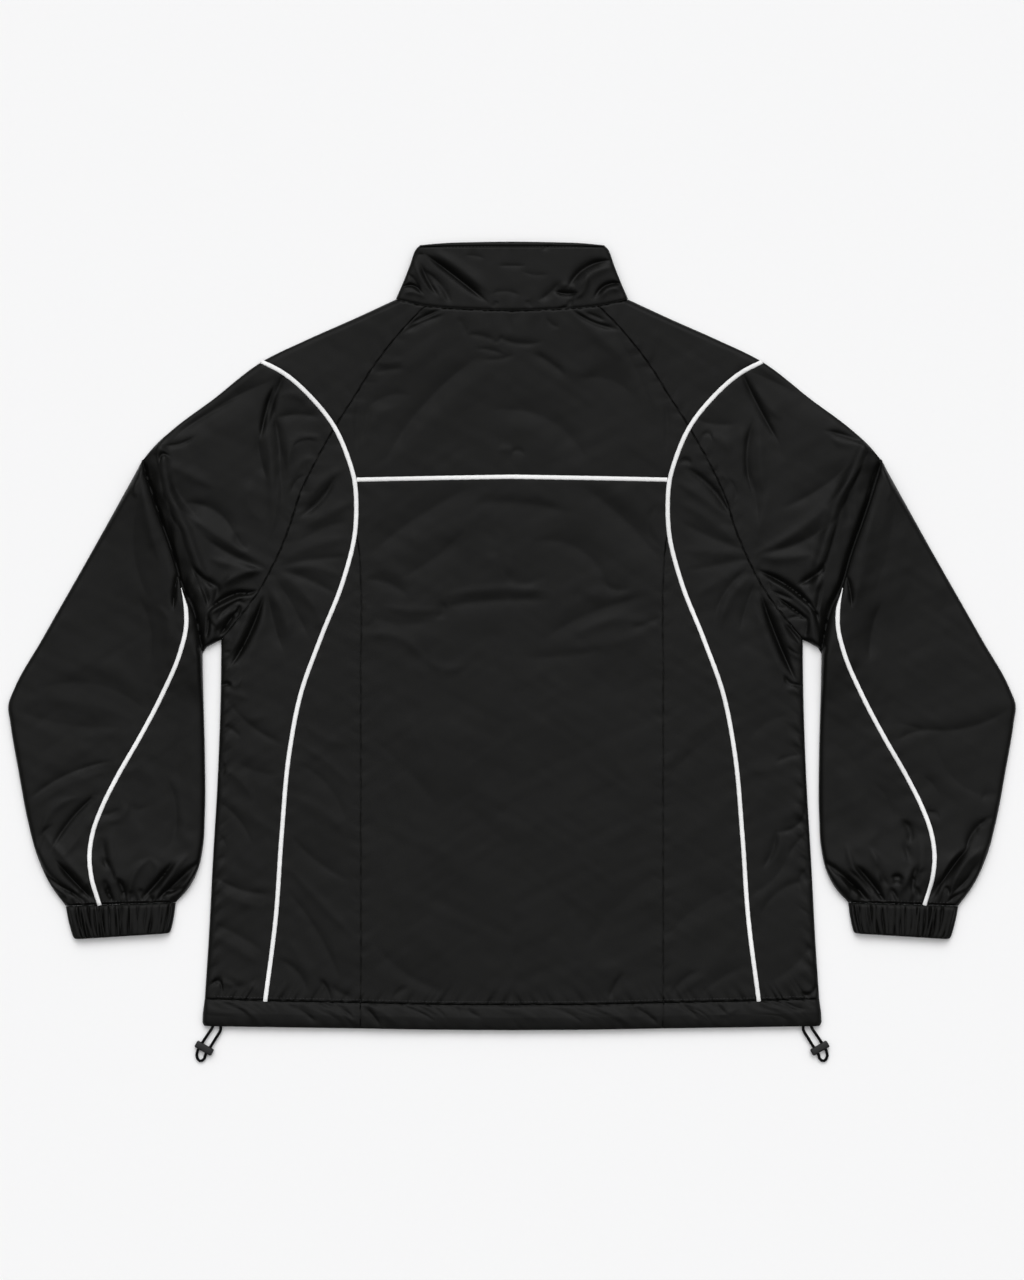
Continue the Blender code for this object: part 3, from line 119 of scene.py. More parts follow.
# Divisions of curves, and grid places next to every border
SPAN_STEPS = 12
BORDER_MARKS = (0, 0.3, 0.8, 1.5, 2.4, 3.6, 5.2, 7.2)
BORDER_SHARE = 0.3
INNER_STEP = 5
BAND_STEP = 2
SHARP_ANGLE = 50.0
CLOTH_SHARP_ANGLE = 78.0
CHUNK = 4000

# Grid size of each piece across and along, in cells
PIECE_CELLS = {
    "yoke": (1.15, 1.3), "centre_back": (1.3, 1.35), "back_side": (1.2, 1.4), "side_panel": (1.15, 1.6),
    "shoulder": (1.1, 1.15), "upper_sleeve": (1.0, 1.0), "forearm_outer": (1.0, 1.2),
    "forearm_inner": (1.0, 1.15), "front": (5.0, 5.0), "sleeve_front": (5.0, 5.0),
}

# Panels of a side: where their height comes from, their sewn sides, and the cloth that they lie on
ALL_SIDES = ("bottom", "top", "left", "right")
PANELS = {
    "back_side": ("back", ALL_SIDES, "front"), "side_panel": ("back", ALL_SIDES[:3], "front"),
    "shoulder": ("back", ALL_SIDES[:3], "sleeve_front"),
    "upper_sleeve": ("back", ("bottom", "left"), "sleeve_front"),
    "forearm_outer": ("forearm", ("top", "left"), "sleeve_front"),
    "forearm_inner": ("forearm", ("top", "bottom", "right"), "sleeve_front"),
    "front": ("under", ALL_SIDES[:3], None), "sleeve_front": ("under", ALL_SIDES[:3], None),
}

# Narrow top of the strip beside the princess seam, and the start of the sleeve piping
STRIP_START = 8.0
PIPING_FORK = 9.0
INNER_START = 3.5

# Sleeve piping: where it comes out of the fold, the length of its taper and the width it starts with
PIPING_BEGIN = 2.0
PIPING_TAPER = 24.0
PIPING_POINT = 0.15
PIPING_SHIFT = 1.6

# Section of the piping: how far its dome stands off the cloth, where its feet are and how deep they go
PIPING_LIFT = 0.1
PIPING_FOOT = 0.92
PIPING_SINK = 0.5

# Collar rows: half width, up at the side, up at the centre
COLLAR_ROLL = 6.0
COLLAR_ROWS = (
    (116, 336.3, 325), (109.3, 351.5, 343), (102, 370, 364), (95.6, 386.4, 384.6), (91.6, 390.2, 393.7),
)
COLLAR_DEPTH = COLLAR_ROWS[-1][2] - COLLAR_ROWS[0][2]
COLLAR_STITCHES = 4.6
COLLAR_STITCH_OUT = 93.0
HIDDEN_GAP = 0.6

# Hem rows: share of its depth, out of the side, how much it stands above the back
HEM_ROWS = ((0, 307, -0.2), (0.5, 308.9, 0.7), (0.86, 309.4, 0.3), (1, 307.6, -0.2))
HEM_DEPTH = 25
HEM_OUT = 307

# Cuff rows: out and up at the inner side, then at the outer side
CUFF_ROWS = (((336, -266.3), (446, -269.9)), ((341.7, -297), (438, -303)))
RIBS = 22
RIB_POINTS = 13
RIB_HEIGHT = 2.7
RIB_UNEVEN = 0.6
CUFF_CORNER = 3.0
CUFF_BOW = 0.8

# Zip
ZIP_OPENING = 4.8
ZIP_TOP = 362.0
ZIP_BOTTOM = -388.0
TAPE_BASE = 2.5
TAPE_THICKNESS = 0.9
COIL_WIDTH = 5.0
COIL_PITCH = 1.6
COIL_WIRE = 0.42

# Drawcord route as rows of out, up and height
CORD_RADIUS = 1.45
CORD_POINTS = 32
CORD_ROUTE = (
    (293.4, -385, 3.9), (290.9, -391.5, 3.9), (296.4, -402.5, 3.3), (301.1, -410.2, 3.2),
    (306.5, -418.6, 2.9), (307.9, -423.2, 2.2), (311.8, -424.9, 1.8), (315.0, -421.0, 2.2),
    (314.1, -414.4, 2.9), (308.9, -405.6, 3.2), (303.6, -397.6, 3.5), (299.3, -390.8, 3.9),
    (298.2, -385, 3.9),
)

# Cord locks, then their sections: place along them, half depth and half height, each as a share
LOCK_CENTRE = (307.6, -411.9)
LOCK_TILT = 30.0
LOCK_LENGTH = 19.0
LOCK_DEPTH = 7.4
LOCK_HEIGHT = 6.4
LOCK_HOLE_GAP = 9.0
LOCK_HOLE_RADIUS = 1.8
LOCK_SECTIONS = (
    (-1, 0.70, 0.62), (-0.98, 0.83, 0.78), (-0.93, 0.95, 0.92), (-0.84, 1, 1), (-0.3, 0.99, 0.98),
    (0, 0.98, 0.97), (0.3, 0.99, 0.98), (0.84, 1, 1), (0.93, 0.95, 0.92), (0.98, 0.83, 0.78), (1, 0.70, 0.62),
)

# Seam and edge lines as rows of out and up, with the rows at which other seams meet them
SHOULDER_EDGE = (
    (116, 336.3), (159, 316.4), (205, 296), (250, 274), (300, 235.5), (337, 208), (358, 189), (369.5, 175),
)
SHOULDER_PIPING = 3
OUTER_SLEEVE_EDGE = (
    (369.5, 175), (420, 84), (470, -4), (498, -54), (503.4, -69), (501.5, -86), (493, -136), (484, -184),
    (474, -221), (461, -249), (446, -269.6),
)
INNER_SLEEVE_EDGE = (
    (309.3, -13.4), (308.5, -58), (307, -114), (307, -180), (309, -212), (314, -234), (324, -253), (336, -266),
)
SLEEVE_FOLD = ((369.5, 175), (355, 129), (338, 80), (329, 50), (318, 26), (309.3, -13.4))
FORK_ROW = 3
UNDERARM_EDGE = ((290.5, -3.6), (300, -8.5), (309.3, -13.4))
SIDE_EDGE = ((290.5, -3.6), (291, -50), (294, -140), (299, -226), (303.5, -310), (307, -362.5))
RAGLAN_SEAM = (
    (86, 329.8), (110, 305), (140, 266.5), (158, 237.5), (177, 208), (198.5, 169.5), (212, 141), (222.5, 108.5),
    (236.5, 75), (254, 43), (272, 19), (290.5, -3.6),
)
RAGLAN_CROSSING = 4
BODY_PIPING = (
    (250, 274), (230.5, 264), (198.5, 236), (177, 208), (164.5, 180), (157.5, 156), (155.5, 126), (156.5, 106),
    (169, 54), (191, -2), (211, -58), (222, -114), (230, -198), (236, -282), (246.5, -364.5),
)
PIPING_CROSSING = 3
PIPING_YOKE = 5
PIPING_STRIP = 7
PRINCESS_SEAM = ((156.5, 106), (153, 88), (151.2, 60), (151, -40), (151, -200), (151, -366.5))
SLEEVE_PIPING = (
    (329, 50), (325.2, 26), (325, 10), (331, -16), (349, -58), (371, -100), (395, -142), (409, -170),
    (419, -198), (421.8, -219), (420, -240), (412, -268.4),
)
COLLAR_SEAM = ((0, 325), (45, 326.6), (86, 329.8), (116, 336.3))
COLLAR_RAGLAN = 2
YOKE_SEAM = ((0, 159), (80, 157.6), (157.5, 156))
HEM_SEAM = ((0, -368.7), (80, -368.2), (151, -366.5), (246.5, -364.5), (307, -362.5))
HEM_PRINCESS = 2
HEM_PIPING = 3
HEM_EDGE = ((0, -393.7), (80, -393.2), (151, -392), (246.5, -390.6), (309.3, -389.6))
FRONT_NECK_SEAM = ((ZIP_OPENING, 299), (40, 303), (80, 316), (116, 336.3))
FRONT_RAGLAN_SEAM = ((66, 311), (110, 258), (160, 190), (205, 118), (250, 48), (290.5, -3.6))

# Shapes of troughs and ridges: gain in height, gain in width and power of the fall beside the crest
TROUGH_SHAPE = (1.5, 0.85, 1.3)
RIDGE_SHAPE = (1.0, 1.1, 1.75)

# Folds: how far they run past their ends and fade there, as shares of their length, and how much a lean of 1
# widens one side; then their widths at the ends and halfway
FOLD_OVERRUN = 0.1
FOLD_FADE = 0.4
FOLD_LEAN = 0.55
FOLD_POINT = 0.42
FOLD_FULL = 1.18

# Folds of the body and upper sleeves: x and up of both ends, bow, half width, height, and lean if there is one
BACK_FOLDS = (
    (-239, 247, -251, 199, -1, 3.4, -2.74, 0.3), (-233, 246, -240, 210, 0, 4.5, 0.77),
    (-237, 217, -231, 178, 1, 4.2, -0.82), (-254, 199, -245, 157, -2, 6, -1.21),
    (-243, 199, -241, 122, 3, 4.5, 1.21), (-232, 157, -243, 98, 2, 3, 0.73),
    (-341, 195, -243, 254, 5, 9, -1.61), (-349, 190, -317, 199, -3, 2.4, -1.13),
    (-339, 199, -272, 237, 2, 3, -0.64), (-352, 173, -341, 179, 6, 2.2, -2.08),
    (-348, 173, -299, 149, 0, 5, 1.05), (-341, 157, -309, 114, -3, 8, -1.21),
    (-336, 130, -245, 71, -2, 5, 1.69, 0.3), (-325, 133, -277, 101, 9, 8, -1.45),
    (-277, 103, -264, 86, -2, 3.9, -0.87), (-307, 98, -245, 66, -3, 4, -0.89),
    (-301, 77, -245, 66, -2, 4, 1.31), (-291, 50, -251, 65, 4, 4.5, 2.81), (-259, 157, -248, 114, -10, 6, 0.81),
    (-224, 167, -192, 199, 13, 5, 1.3), (-219, 189, -195, 194, 4, 3.4, -0.6),
    (-216, 162, -197, 178, 5, 3.4, 0.54), (-220, 143, -205, 161, 4, 2.9, -0.62),
    (-227, 133, -221, 157, 2, 2.9, 0.46), (-211, 141, -205, 157, -1, 2.6, -0.39),
    (-235, 218, -192, 218, 3, 6, -1.04), (-235, 239, -203, 229, 7, 3.9, 0.62),
    (-212, 119, -177, 157, -4, 4.2, -1.95, 0.2), (-205, 135, -168, 167, 4, 4, 0.98),
    (-208, 110, -161, 133, 0, 5, 1.1), (-211, 95, -165, 114, 3, 5, -0.56), (-232, 74, -163, 98, 4, 5, 0.86),
    (-229, 70, -163, 79, 2, 3.6, -0.59), (-229, 67, -168, 58, 6, 4.5, 0.86), (-229, 65, -176, 42, 2, 4, -0.66),
    (-233, 62, -192, 18, 5, 5.5, 1.15), (-235, 55, -203, -1, 1, 5.5, -0.9), (-243, 49, -223, -3, 5, 5.5, 1.3),
    (-244, 42, -229, -14, -2, 5.5, -1.15), (-256, -22, -264, -59, -8, 9, 0.65),
    (-34, 279, -126, 176, -8, 10, -1.36), (-13, 272, -101, 187, -7, 11.2, 0.87),
    (-74, 293, -133, 261, 5, 8.8, 0.74), (-137, 263, -107, 267, 1, 4.2, -0.6),
    (-135, 272, -109, 275, -1, 3.2, 0.5), (-143, 229, -103, 241, 5, 6.2, -0.55),
    (-146, 203, -114, 229, 6, 5.6, 0.68), (-154, 192, -143, 235, -3, 5, -0.62),
    (67, 257, 121, 240, 8, 11.2, -0.81), (-17, 226, 73, 179, 16, 11.2, -0.99),
    (-13, 211, 49, 176, 11, 11.2, 0.74), (65, 316, 151, 213, 10, 8.1, 1.12),
    (107, 296, 139, 229, 2, 7.5, -0.74), (-14, 184, 2, 182, 4, 3, 0.56), (-2, 182, 13, 181, 4, 3, -0.56),
    (154, 237, 154, 185, 1, 2.5, -0.62), (-154, 237, -154, 185, -1, 2.5, -0.62),
    (-135, 165, -82, 224, -4, 7.5, 0.56), (-39, 149, -142, 81, -5, 11.2, -1.15),
    (-82, 104, -138, 72, 1, 8.8, 0.65), (-45, 107, -113, 57, 4, 10.6, -1), (-29, 123, -74, 96, 5, 8.8, 0.55),
    (70, 149, 150, 73, 5, 10.6, -1.15), (86, 152, 150, 96, 7, 8.8, 0.87), (-34, 133, 65, 121, 5, 8.8, -0.75),
    (-34, 143, 59, 131, 3, 7.5, 0.55), (22, 95, 94, 56, 14, 12.5, -1.15), (89, 56, 117, 47, -5, 5.6, -0.9),
    (-13, 83, 33, 59, -19, 10, -0.7), (-29, 80, -7, 53, 6, 8.8, 0.6), (67, 48, 126, 45, -8, 7.5, 0.75),
    (-146, 57, -105, 41, 4, 6.2, -0.8), (-138, 67, -101, 51, 4, 5, 0.55), (-63, 41, 35, 45, 4, 4.5, 0.95, -0.3),
    (-69, 29, 37, 36, 3, 7.5, -1), (-70, 35, -77, 17, 5, 5.6, -0.7), (-127, 29, -74, 26, -2, 3.8, 0.7),
    (-141, 20, -79, 16, -6, 7.5, -0.55), (-146, 1, -87, -23, 10, 4.5, 0.75),
    (-87, -23, -45, -29, -7, 4.5, 0.55), (35, -1, 134, 39, 6, 10.6, -1.05), (67, 4, 149, 7, 11, 5.6, 0.85),
    (51, -11, 137, 5, -5, 6.2, 0.65), (121, 8, 149, 19, -1, 3.8, -0.6), (14, -21, 91, -13, -3, 7.5, -0.5),
    (-149, 35, -146, 8, 4, 3.8, 0.6), (-146, 149, -138, 109, 13, 7.5, 0.45), (131, 149, 150, 123, 0, 5, 0.5),
    (147, 133, 149, 88, -12, 5, -0.45), (-130, -86, 102, -62, -28, 17.5, 0.45),
    (-109, -171, 48, -328, -5, 17.5, 0.45), (-75, -144, 102, -321, 5, 15, -0.4),
    (-130, -226, -48, -342, -9, 10, 0.45), (61, -253, 136, -178, 5, 12.5, 0.4),
    (68, -321, 143, -239, 7, 10, -0.35), (-140, -103, -75, -171, 4, 8.8, -0.45),
    (102, -116, 147, -171, -6, 7.5, 0.4), (-137, -308, -68, -355, -7, 6.2, -0.45),
    (34, -355, 123, -335, 13, 6.2, 0.4), (-207, -88, -162, -108, -5, 5, 0.6),
    (-209, -109, -159, -150, 2, 4, 0.55), (-215, -127, -167, -183, 9, 6, -0.5),
    (-218, -161, -165, -200, 6, 5, 0.5), (-221, -200, -162, -245, -4, 5, -0.55),
    (-221, -234, -160, -299, 0, 4, 0.75), (-223, -256, -173, -340, 4, 5, -0.75),
    (-229, -298, -195, -354, 2, 5, 0.55), (-232, -323, -204, -356, 5, 4, -0.65),
    (-181, -349, -159, -361, -2, 3, -0.6), (-287, -61, -228, -108, -6, 5, -0.75),
    (-280, -73, -246, -80, -6, 5, 0.65), (-288, -89, -271, -101, 1, 3, -0.65),
    (-291, -99, -237, -122, -8, 7, 0.6), (-291, -133, -260, -161, 5, 4, 0.7),
    (-291, -124, -291, -144, 3, 2.4, -0.6), (-274, -127, -232, -138, -3, 7, -0.5),
    (-292, -166, -260, -206, 4, 4.4, -0.57), (-288, -161, -240, -194, 1, 6, 0.6),
    (-294, -197, -291, -228, 7, 4, -0.5), (-277, -208, -243, -239, -3, 8, 0.55),
    (-295, -242, -242, -258, -4, 4, -0.8), (-295, -250, -246, -270, -5, 5, 0.7),
    (-243, -248, -271, -273, -5, 5, 0.45), (-299, -287, -249, -315, 2, 6, -0.7),
    (-299, -298, -254, -326, 1, 5, 0.65), (-303, -350, -289, -355, 8, 2.6, -1.8),
    (-302, -357, -274, -354, 9, 2.8, 0.75), (-288, -337, -250, -356, 1, 4, 0.6),
    (-282, -351, -251, -340, -3, 4, -0.55), (228.1, 266.4, 264.9, 195.6, -1, 3.8, -2.06, -0.2),
    (257.2, 209.7, 270.8, 174.3, 2, 9.4, -0.51), (241, 253, 269, 217, -3, 5, 1.13),
    (241.2, 214.2, 239.8, 144.8, -6, 4.1, -1.69), (239.1, 159.9, 245.9, 115.1, 1, 4.3, -0.65),
    (247, 205, 251, 144, -1, 5, 1.13), (228, 212, 228, 154, 3, 5, 0.89),
    (228.2, 268.1, 362.8, 191.9, 6, 10.8, -1.21), (319, 197, 350, 193, -3, 4, 1.05),
    (314, 205, 355, 192, 1, 3, -1.56), (243, 82, 347, 169, -10, 5, 1.77, -0.3),
    (274, 129, 340, 174, -4, 8, -1.37), (251, 83, 325, 119, -7, 6, -1.05), (249, 78, 299, 81, -1, 5, 1.63),
    (259, 149, 243, 91, -1, 6, 0.97), (195, 200, 218, 179, 6, 5.2, 0.78), (189, 200, 200, 195, 5, 2.9, -0.66),
    (195, 169, 205, 172, -7, 2.6, -0.66), (216, 157, 222, 134, 4, 2.9, -0.47),
    (203, 157, 216, 154, 4, 2.6, 0.39), (183, 217, 223, 212, -3, 6, -0.8),
    (173, 168, 217, 122, 5, 3.8, -2.21, -0.2), (167, 174, 180, 172, 2, 2.2, -1.4),
    (165, 154, 216, 119, 1, 4.5, 1.1), (165, 134, 226, 91, 4, 5, 0.91), (170, 113, 233, 86, -2, 5, -0.61),
    (170, 86, 233, 81, 0, 4.5, 0.66), (175, 65, 236, 77, 0, 4.5, -0.51), (183, 40, 236, 73, 0, 5, 0.76),
    (208, 10, 238, 60, 6, 5, 1.33), (203, 22, 233, 65, 4, 4, -0.86), (228, 7, 243, 53, 1, 5, -1.12),
    (233, -11, 238, -56, 8, 9, 0.6), (249, -25, 285, -58, 8, 8, 0.5), (240, -136, 290, -117, -4, 6, 0.65),
    (264, -126, 291, -119, 2, 3.4, -0.65), (237, -103, 276, -79, 5, 9, -0.45),
    (295, -168, 264, -196, 9, 4.4, -0.99), (264, -196, 251, -231, 3, 4.7, -1.08),
    (269, -199, 258, -229, 2, 4, 0.9), (294, -154, 270, -184, 4, 6, 0.6), (238, -259, 276, -220, -5, 6, -0.6),
    (276, -220, 296, -196, 2, 4, -0.65), (243, -268, 288, -238, 4, 7, 0.6), (249, -276, 298, -244, 8, 5, -0.55),
    (237, -172, 288, -145, 6, 8, 0.45), (288, -358, 304, -348, -5, 2.8, -1.65),
    (289, -354, 303, -346, -6, 2.8, 0.8), (264, -355, 300, -331, 3, 5, 0.5),
    (258, -346, 300, -307, -4, 6, -0.5), (296, -181, 295, -202, 3, 2.6, -0.8),
    (296, -232, 288, -253, -4, 4, -0.55), (153, -148, 213, -94, 6, 9, -0.45), (153, -130, 212, -76, 4, 8, 0.45),
    (155, -214, 219, -160, -6, 8, 0.45), (156, -298, 228, -250, 6, 8, -0.45),
    (168, -352, 228, -292, -6, 7, 0.4), (159, -358, 187, -334, 3, 4, -0.6),
    (165, -361, 195, -340, 3, 3.4, 0.45), (186, -361, 234, -331, 4, 5, -0.4),
    (-319, 70, -317, 53, 0, 1.9, -2.2), (-318, 66, -294, 49, -1.5, 3.4, -2.8), (-312, 58, -305, 28, 3, 9, -2.2),
    (-293, 52, -303, 28, 2, 3.6, -1.6), (-304, 25, -266, 44.5, 3.4, 2.8, -3.6),
    (-276, 43.5, -255, 45, -1.6, 2, -2.2), (-303, 21, -259, 39, 4, 2.2, 2.2),
    (-294, 17, -262, 39, 4, 1.5, -0.9), (-278, 34, -266, 31, 1.8, 1.5, -0.9),
    (-272, 31, -275, 19, 0.5, 1.6, -1.9), (-276, 28, -278, 19, 0, 1.5, 1),
    (-291, 1, -274.5, 25.5, 0.6, 2.4, -3), (-297, 7, -281, 24, 1.5, 3.2, 1.5),
    (-306.5, 25, -307.5, -4, 3.2, 2, -2.4), (-304, 16, -292, -1, 1.5, 1.3, -0.8),
    (-249, 37, -280, -29, 2.7, 2.9, -4), (-261, 33, -283, -18, 3, 4, 1.5), (-246, 28, -270, -34, 3, 5, 0.9),
    (-291, -17, -281, -16, 0, 1.5, -1), (-292, -50, -280, -48, 0.8, 1.8, -2.2),
    (-284, -45, -270, -42, -6, 3, 0.9), (-290, -56, -262, -64, 2, 3.5, 0.8),
    (-290, -36, -272, -30, 1.5, 3.5, 0.6), (315, 73, 287, 52, 2.7, 3.8, -3.4), (309, 52, 306, 22, -2, 8, -1.8),
    (289, 50, 300, 34, -2, 3.4, 1.4), (248, 64.5, 301, 28, 3.6, 3, -3.9), (297, 31, 312, 1, 2.5, 2.4, -2.6),
    (303, 27, 317, 4, 3, 2.6, 1.3), (257, 55, 300, 21, 4, 3.4, 1.8), (260, 45, 281, 36.5, -0.5, 1.6, -1.2),
    (256, 55, 257, 43, 1, 1.4, -0.6), (266.5, 37.5, 295.5, 16, 0.4, 1.9, -2.7),
    (294.8, 17, 292.5, -2, 0.8, 1.5, -1.4), (275, 16.5, 293.5, 17.5, 2.2, 1.3, -1.1),
    (266, 35, 267, 27, -0.8, 1.3, -0.7), (267, 28, 276, 30, -0.5, 1.3, -0.6), (272, 36, 296, 19, 0, 2, 1.2),
    (249.5, 39, 282, -42, -1.3, 3.2, -4), (258, 38, 288, -30, 0, 4, 1.3), (243, 30, 272, -40, -2, 5, 0.9),
    (272, 12, 289, -9, 1, 2.8, -1.9), (275, -11, 291, -20, -1.5, 1.6, -0.8), (279, -3, 291, -12, 0, 1.8, 0.7),
    (272, -40, 284, -49, -2.5, 2.8, -1.5), (281, -48.5, 291.5, -50.5, 0, 1.6, -1.9),
    (274, -54, 291, -60, 2, 3, 0.8), (-44, 301, -16, 294, 2, 3.4, -0.6), (-18, 292, -9, 300, -1, 2.6, -0.45),
    (-13, 298, 29, 293.5, -4, 3.6, -0.75), (-38, 306, -20, 303, 1, 5.2, 0.38),
    (-6, 304, 18, 299, -2, 5.2, 0.38), (-36, 287, -8, 281, 1.5, 2.3, -0.52), (-30, 276, 3, 281, -2, 3.6, -0.52),
    (5, 291, 20, 287, -1, 2.6, 0.3), (-100, 312, -73, 325, 0.5, 2.2, -1.6),
    (-108, 303, -69, 320, 1.5, 2.8, -1.1), (-104, 308, -70, 323, 1, 2, 0.6), (60, 325, 107, 306, -3, 2.2, -1.5),
    (73, 323, 93, 315, 0, 2, -1), (64, 327, 92, 312, -2, 2.2, 0.6), (21, 282, 52, 261, 2, 6, -1),
    (26, 288, 70, 262, -3, 6, 0.5), (34, 318, 47, 308, -2, 3, -0.5), (-55, 318, -46, 300, 2, 4, -0.5),
    (-192, -343, -182, -363, 2, 2.2, -1.2), (111, -336, 96, -363, 0, 2.8, -0.9),
    (-120, -362, -104, -350, 1, 2.6, -0.7), (-227, 262, -243, 214, -2, 4.4, -1.7),
    (-238, 230, -230, 140, 1, 5, -0.8), (-247, 222, -241, 150, 0, 6, 0.7), (-226, 214, -222, 150, 1, 5, 0.5),
)

# Folds of the forearms, in the same columns
FOREARM_FOLDS = (
    (-484, -64, -378, -84, 7, 7, 0.59, 0.2), (-495, -74, -392, -91, -6, 9, -0.47),
    (-470, -52, -366, -74, 15, 9, -0.5), (-462, -38, -380, -46, 11, 14, 0.59),
    (-428, -102, -372, -102, 4, 6, 0.46), (-484, -165, -399, -125, 7, 2.9, -0.76, 0.3),
    (-476, -169, -400, -134, 5, 4, 0.56), (-481, -138, -417, -110, 3, 8, 0.55),
    (-460, -213, -413, -157, 4, 3.4, -1.8, 0.2), (-470, -197, -434, -161, 8, 4, 1.13),
    (-448, -220, -417, -178, -1, 4, 1.14), (-473, -217, -459, -189, 5, 3.6, -1),
    (-411, -179, -391, -172, -2, 2.6, -0.64), (-406, -186, -383, -161, -8, 4, 0.93),
    (-392, -138, -352, -152, 11, 6, 0.5), (-389, -161, -361, -169, -8, 6, -0.42),
    (-466, -200, -417, -256, 0, 4, 1.35), (-481, -200, -448, -256, -5, 4, 0.92),
    (-400, -194, -392, -250, -4, 5, 1.43), (-380, -263, -361, -222, 8, 3.1, 1.43),
    (-361, -222, -359, -248, 7, 2.9, 1), (-357, -265, -322, -217, 3, 3.6, 1.71),
    (-338, -256, -312, -236, 1, 2.7, 1.14), (-333, -161, -316, -220, -3, 6.3, 0.85),
    (-344, -144, -341, -211, 7, 6.3, -1.16), (-329, -88, -330, -155, -4, 7, -0.5),
    (-316, -77, -315, -183, -4, 5, 0.42), (-378, -183, -383, -228, 8, 8.1, 0.85),
    (-442, -265, -420, -242, 0, 2.2, 0.71), (-371, 165, -352, 77, -2, 5, 1.3, 0.2),
    (-373, 135, -363, 39, -10, 8, -0.7), (-391, 133, -405, 23, 3, 12, 0.8),
    (-375, 157, -375, 138, -1, 2.6, 1.34), (-373, 39, -363, -27, 7, 7, -0.6), (-352, 29, -347, -11, 8, 5, 0.84),
    (-445, -38, -379, -41, 12, 10, 0.5), (360, 124, 342, 32, -1, 6, 1.1, 0.2), (374, 164, 374, 134, 3, 3, 0.8),
    (382, 134, 360, 40, 4, 10, -0.5), (388, 113, 380, 27, 3, 12, 0.7), (368, 32, 357, -23, -3, 7, -1.18),
    (337, -259, 320, -227, -2, 2.2, 1.28), (356, -250, 334, -208, 4, 3.1, 1.85),
    (364, -253, 357, -211, -5, 3.6, 1.71), (389, -256, 391, -214, -5, 3.6, 1.85),
    (399, -259, 408, -199, -5, 4.5, 1.71), (390, -184, 397, -208, 4, 4.5, -1.9),
    (427, -262, 447, -214, 6, 3.6, 1.71), (438, -259, 474, -211, 8, 3.6, 1.57),
    (453, -214, 479, -181, 5, 4.5, -2.14), (414, -264, 420, -238, -2, 2, -1.66),
    (387, -87, 498, -72, -14, 5, -0.59), (390, -79, 495, -61, -12, 9, 0.47), (386, -104, 414, -95, 3, 4, -0.55),
    (420, -94, 485, -163, -18, 9, -0.47), (408, -103, 468, -160, -14, 9, 0.55),
    (410, -139, 429, -181, 7, 7, -0.59), (414, -175, 426, -187, 4, 2.7, -0.8),
    (468, -163, 487, -160, 4, 6, -0.55), (465, -196, 480, -184, 3, 4.5, 0.93), (363, -16, 359, -61, 3, 9, 0.5),
    (315, -22, 336, -88, -6, 12, 0.42), (315, -103, 357, -172, 12, 14, -0.46),
    (318, -130, 345, -196, 8, 10.8, 0.8), (363, -148, 380, -190, 5, 8.1, -0.73),
    (390, -46, 453, -13, 6, 12, 0.46), (366, -196, 336, -214, 3, 6.3, 0.85),
    (310, -130, 311, -190, 2, 4.5, 0.59), (-312, -225, -354, -263, 0, 2.8, -3.6),
    (-338, -226, -369, -262, 1, 3, -3.6), (-349, -255, -328, -251, -1, 2, -1.6),
    (-322, -238, -344, -258, 1, 2.4, -1.6), (-394.5, -242, -386.5, -262, 1.5, 2.2, -2.8),
    (-403, -249, -397, -265, -2.5, 1.8, -2.2), (-407, -243, -404, -258, 0, 1.8, -1.6),
    (-409, -222, -397, -246, 2, 3.4, -1.8), (-454, -226, -418, -264, -1, 3.4, -3.4),
    (-464, -240, -432, -259, -2, 2.8, -2.2), (-442, -254, -427, -264, -1, 1.8, -1.4),
    (-480, -214, -450, -252, -3, 3.4, -2.4), (-458, -256, -444, -265, 1, 2, -1.5),
    (-372, -252, -366, -264, 0, 1.8, -1.4), (-381, -254, -379, -265, 0, 1.8, -1.2),
    (-412, -200, -405, -232, 1, 4, -1.4), (-362, -259, -359, -265, 0, 1.6, -1.4),
    (-341, -262, -334, -265, 0, 1.6, -1.2), (310, -224, 357, -264, 1.5, 3.2, -3.8),
    (342, -228, 372, -264, 1, 3, -3.8), (330, -242, 351, -259, 1, 2.4, -2.2),
    (337, -234, 361, -258, 1, 2.2, -1.6), (379, -241.5, 390, -242.5, 1.5, 2.4, -2.4),
    (380, -247, 389, -247, 1, 1.8, -1.5), (378, -252, 385, -265, 1, 1.8, -1.8),
    (405, -228, 400, -257, -1.5, 2.4, -2.4), (402, -250, 407, -262, 1, 1.6, -1.4),
    (411, -232, 404, -250, -1, 2, -1.4), (455, -212, 417, -264, -1, 3.4, -3.6),
    (458, -253, 434, -266, -1, 1.8, -1.3), (432, -250, 437, -258, 1, 1.8, -1.3),
    (468, -222, 440, -256, 3, 3.6, -1.8), (392, -205, 394, -240, 2, 4.4, -1.5),
    (364, -226, 376, -250, -2, 3.6, -1.2), (346, -256, 356, -265, 0, 1.8, -1.3),
    (366, -258, 372, -265, 0, 1.6, -1.4), (-333, 64, -338, 27, -1, 2.6, -2.6), (334, 60, 339, 30, 1, 2.6, -2.2),
)

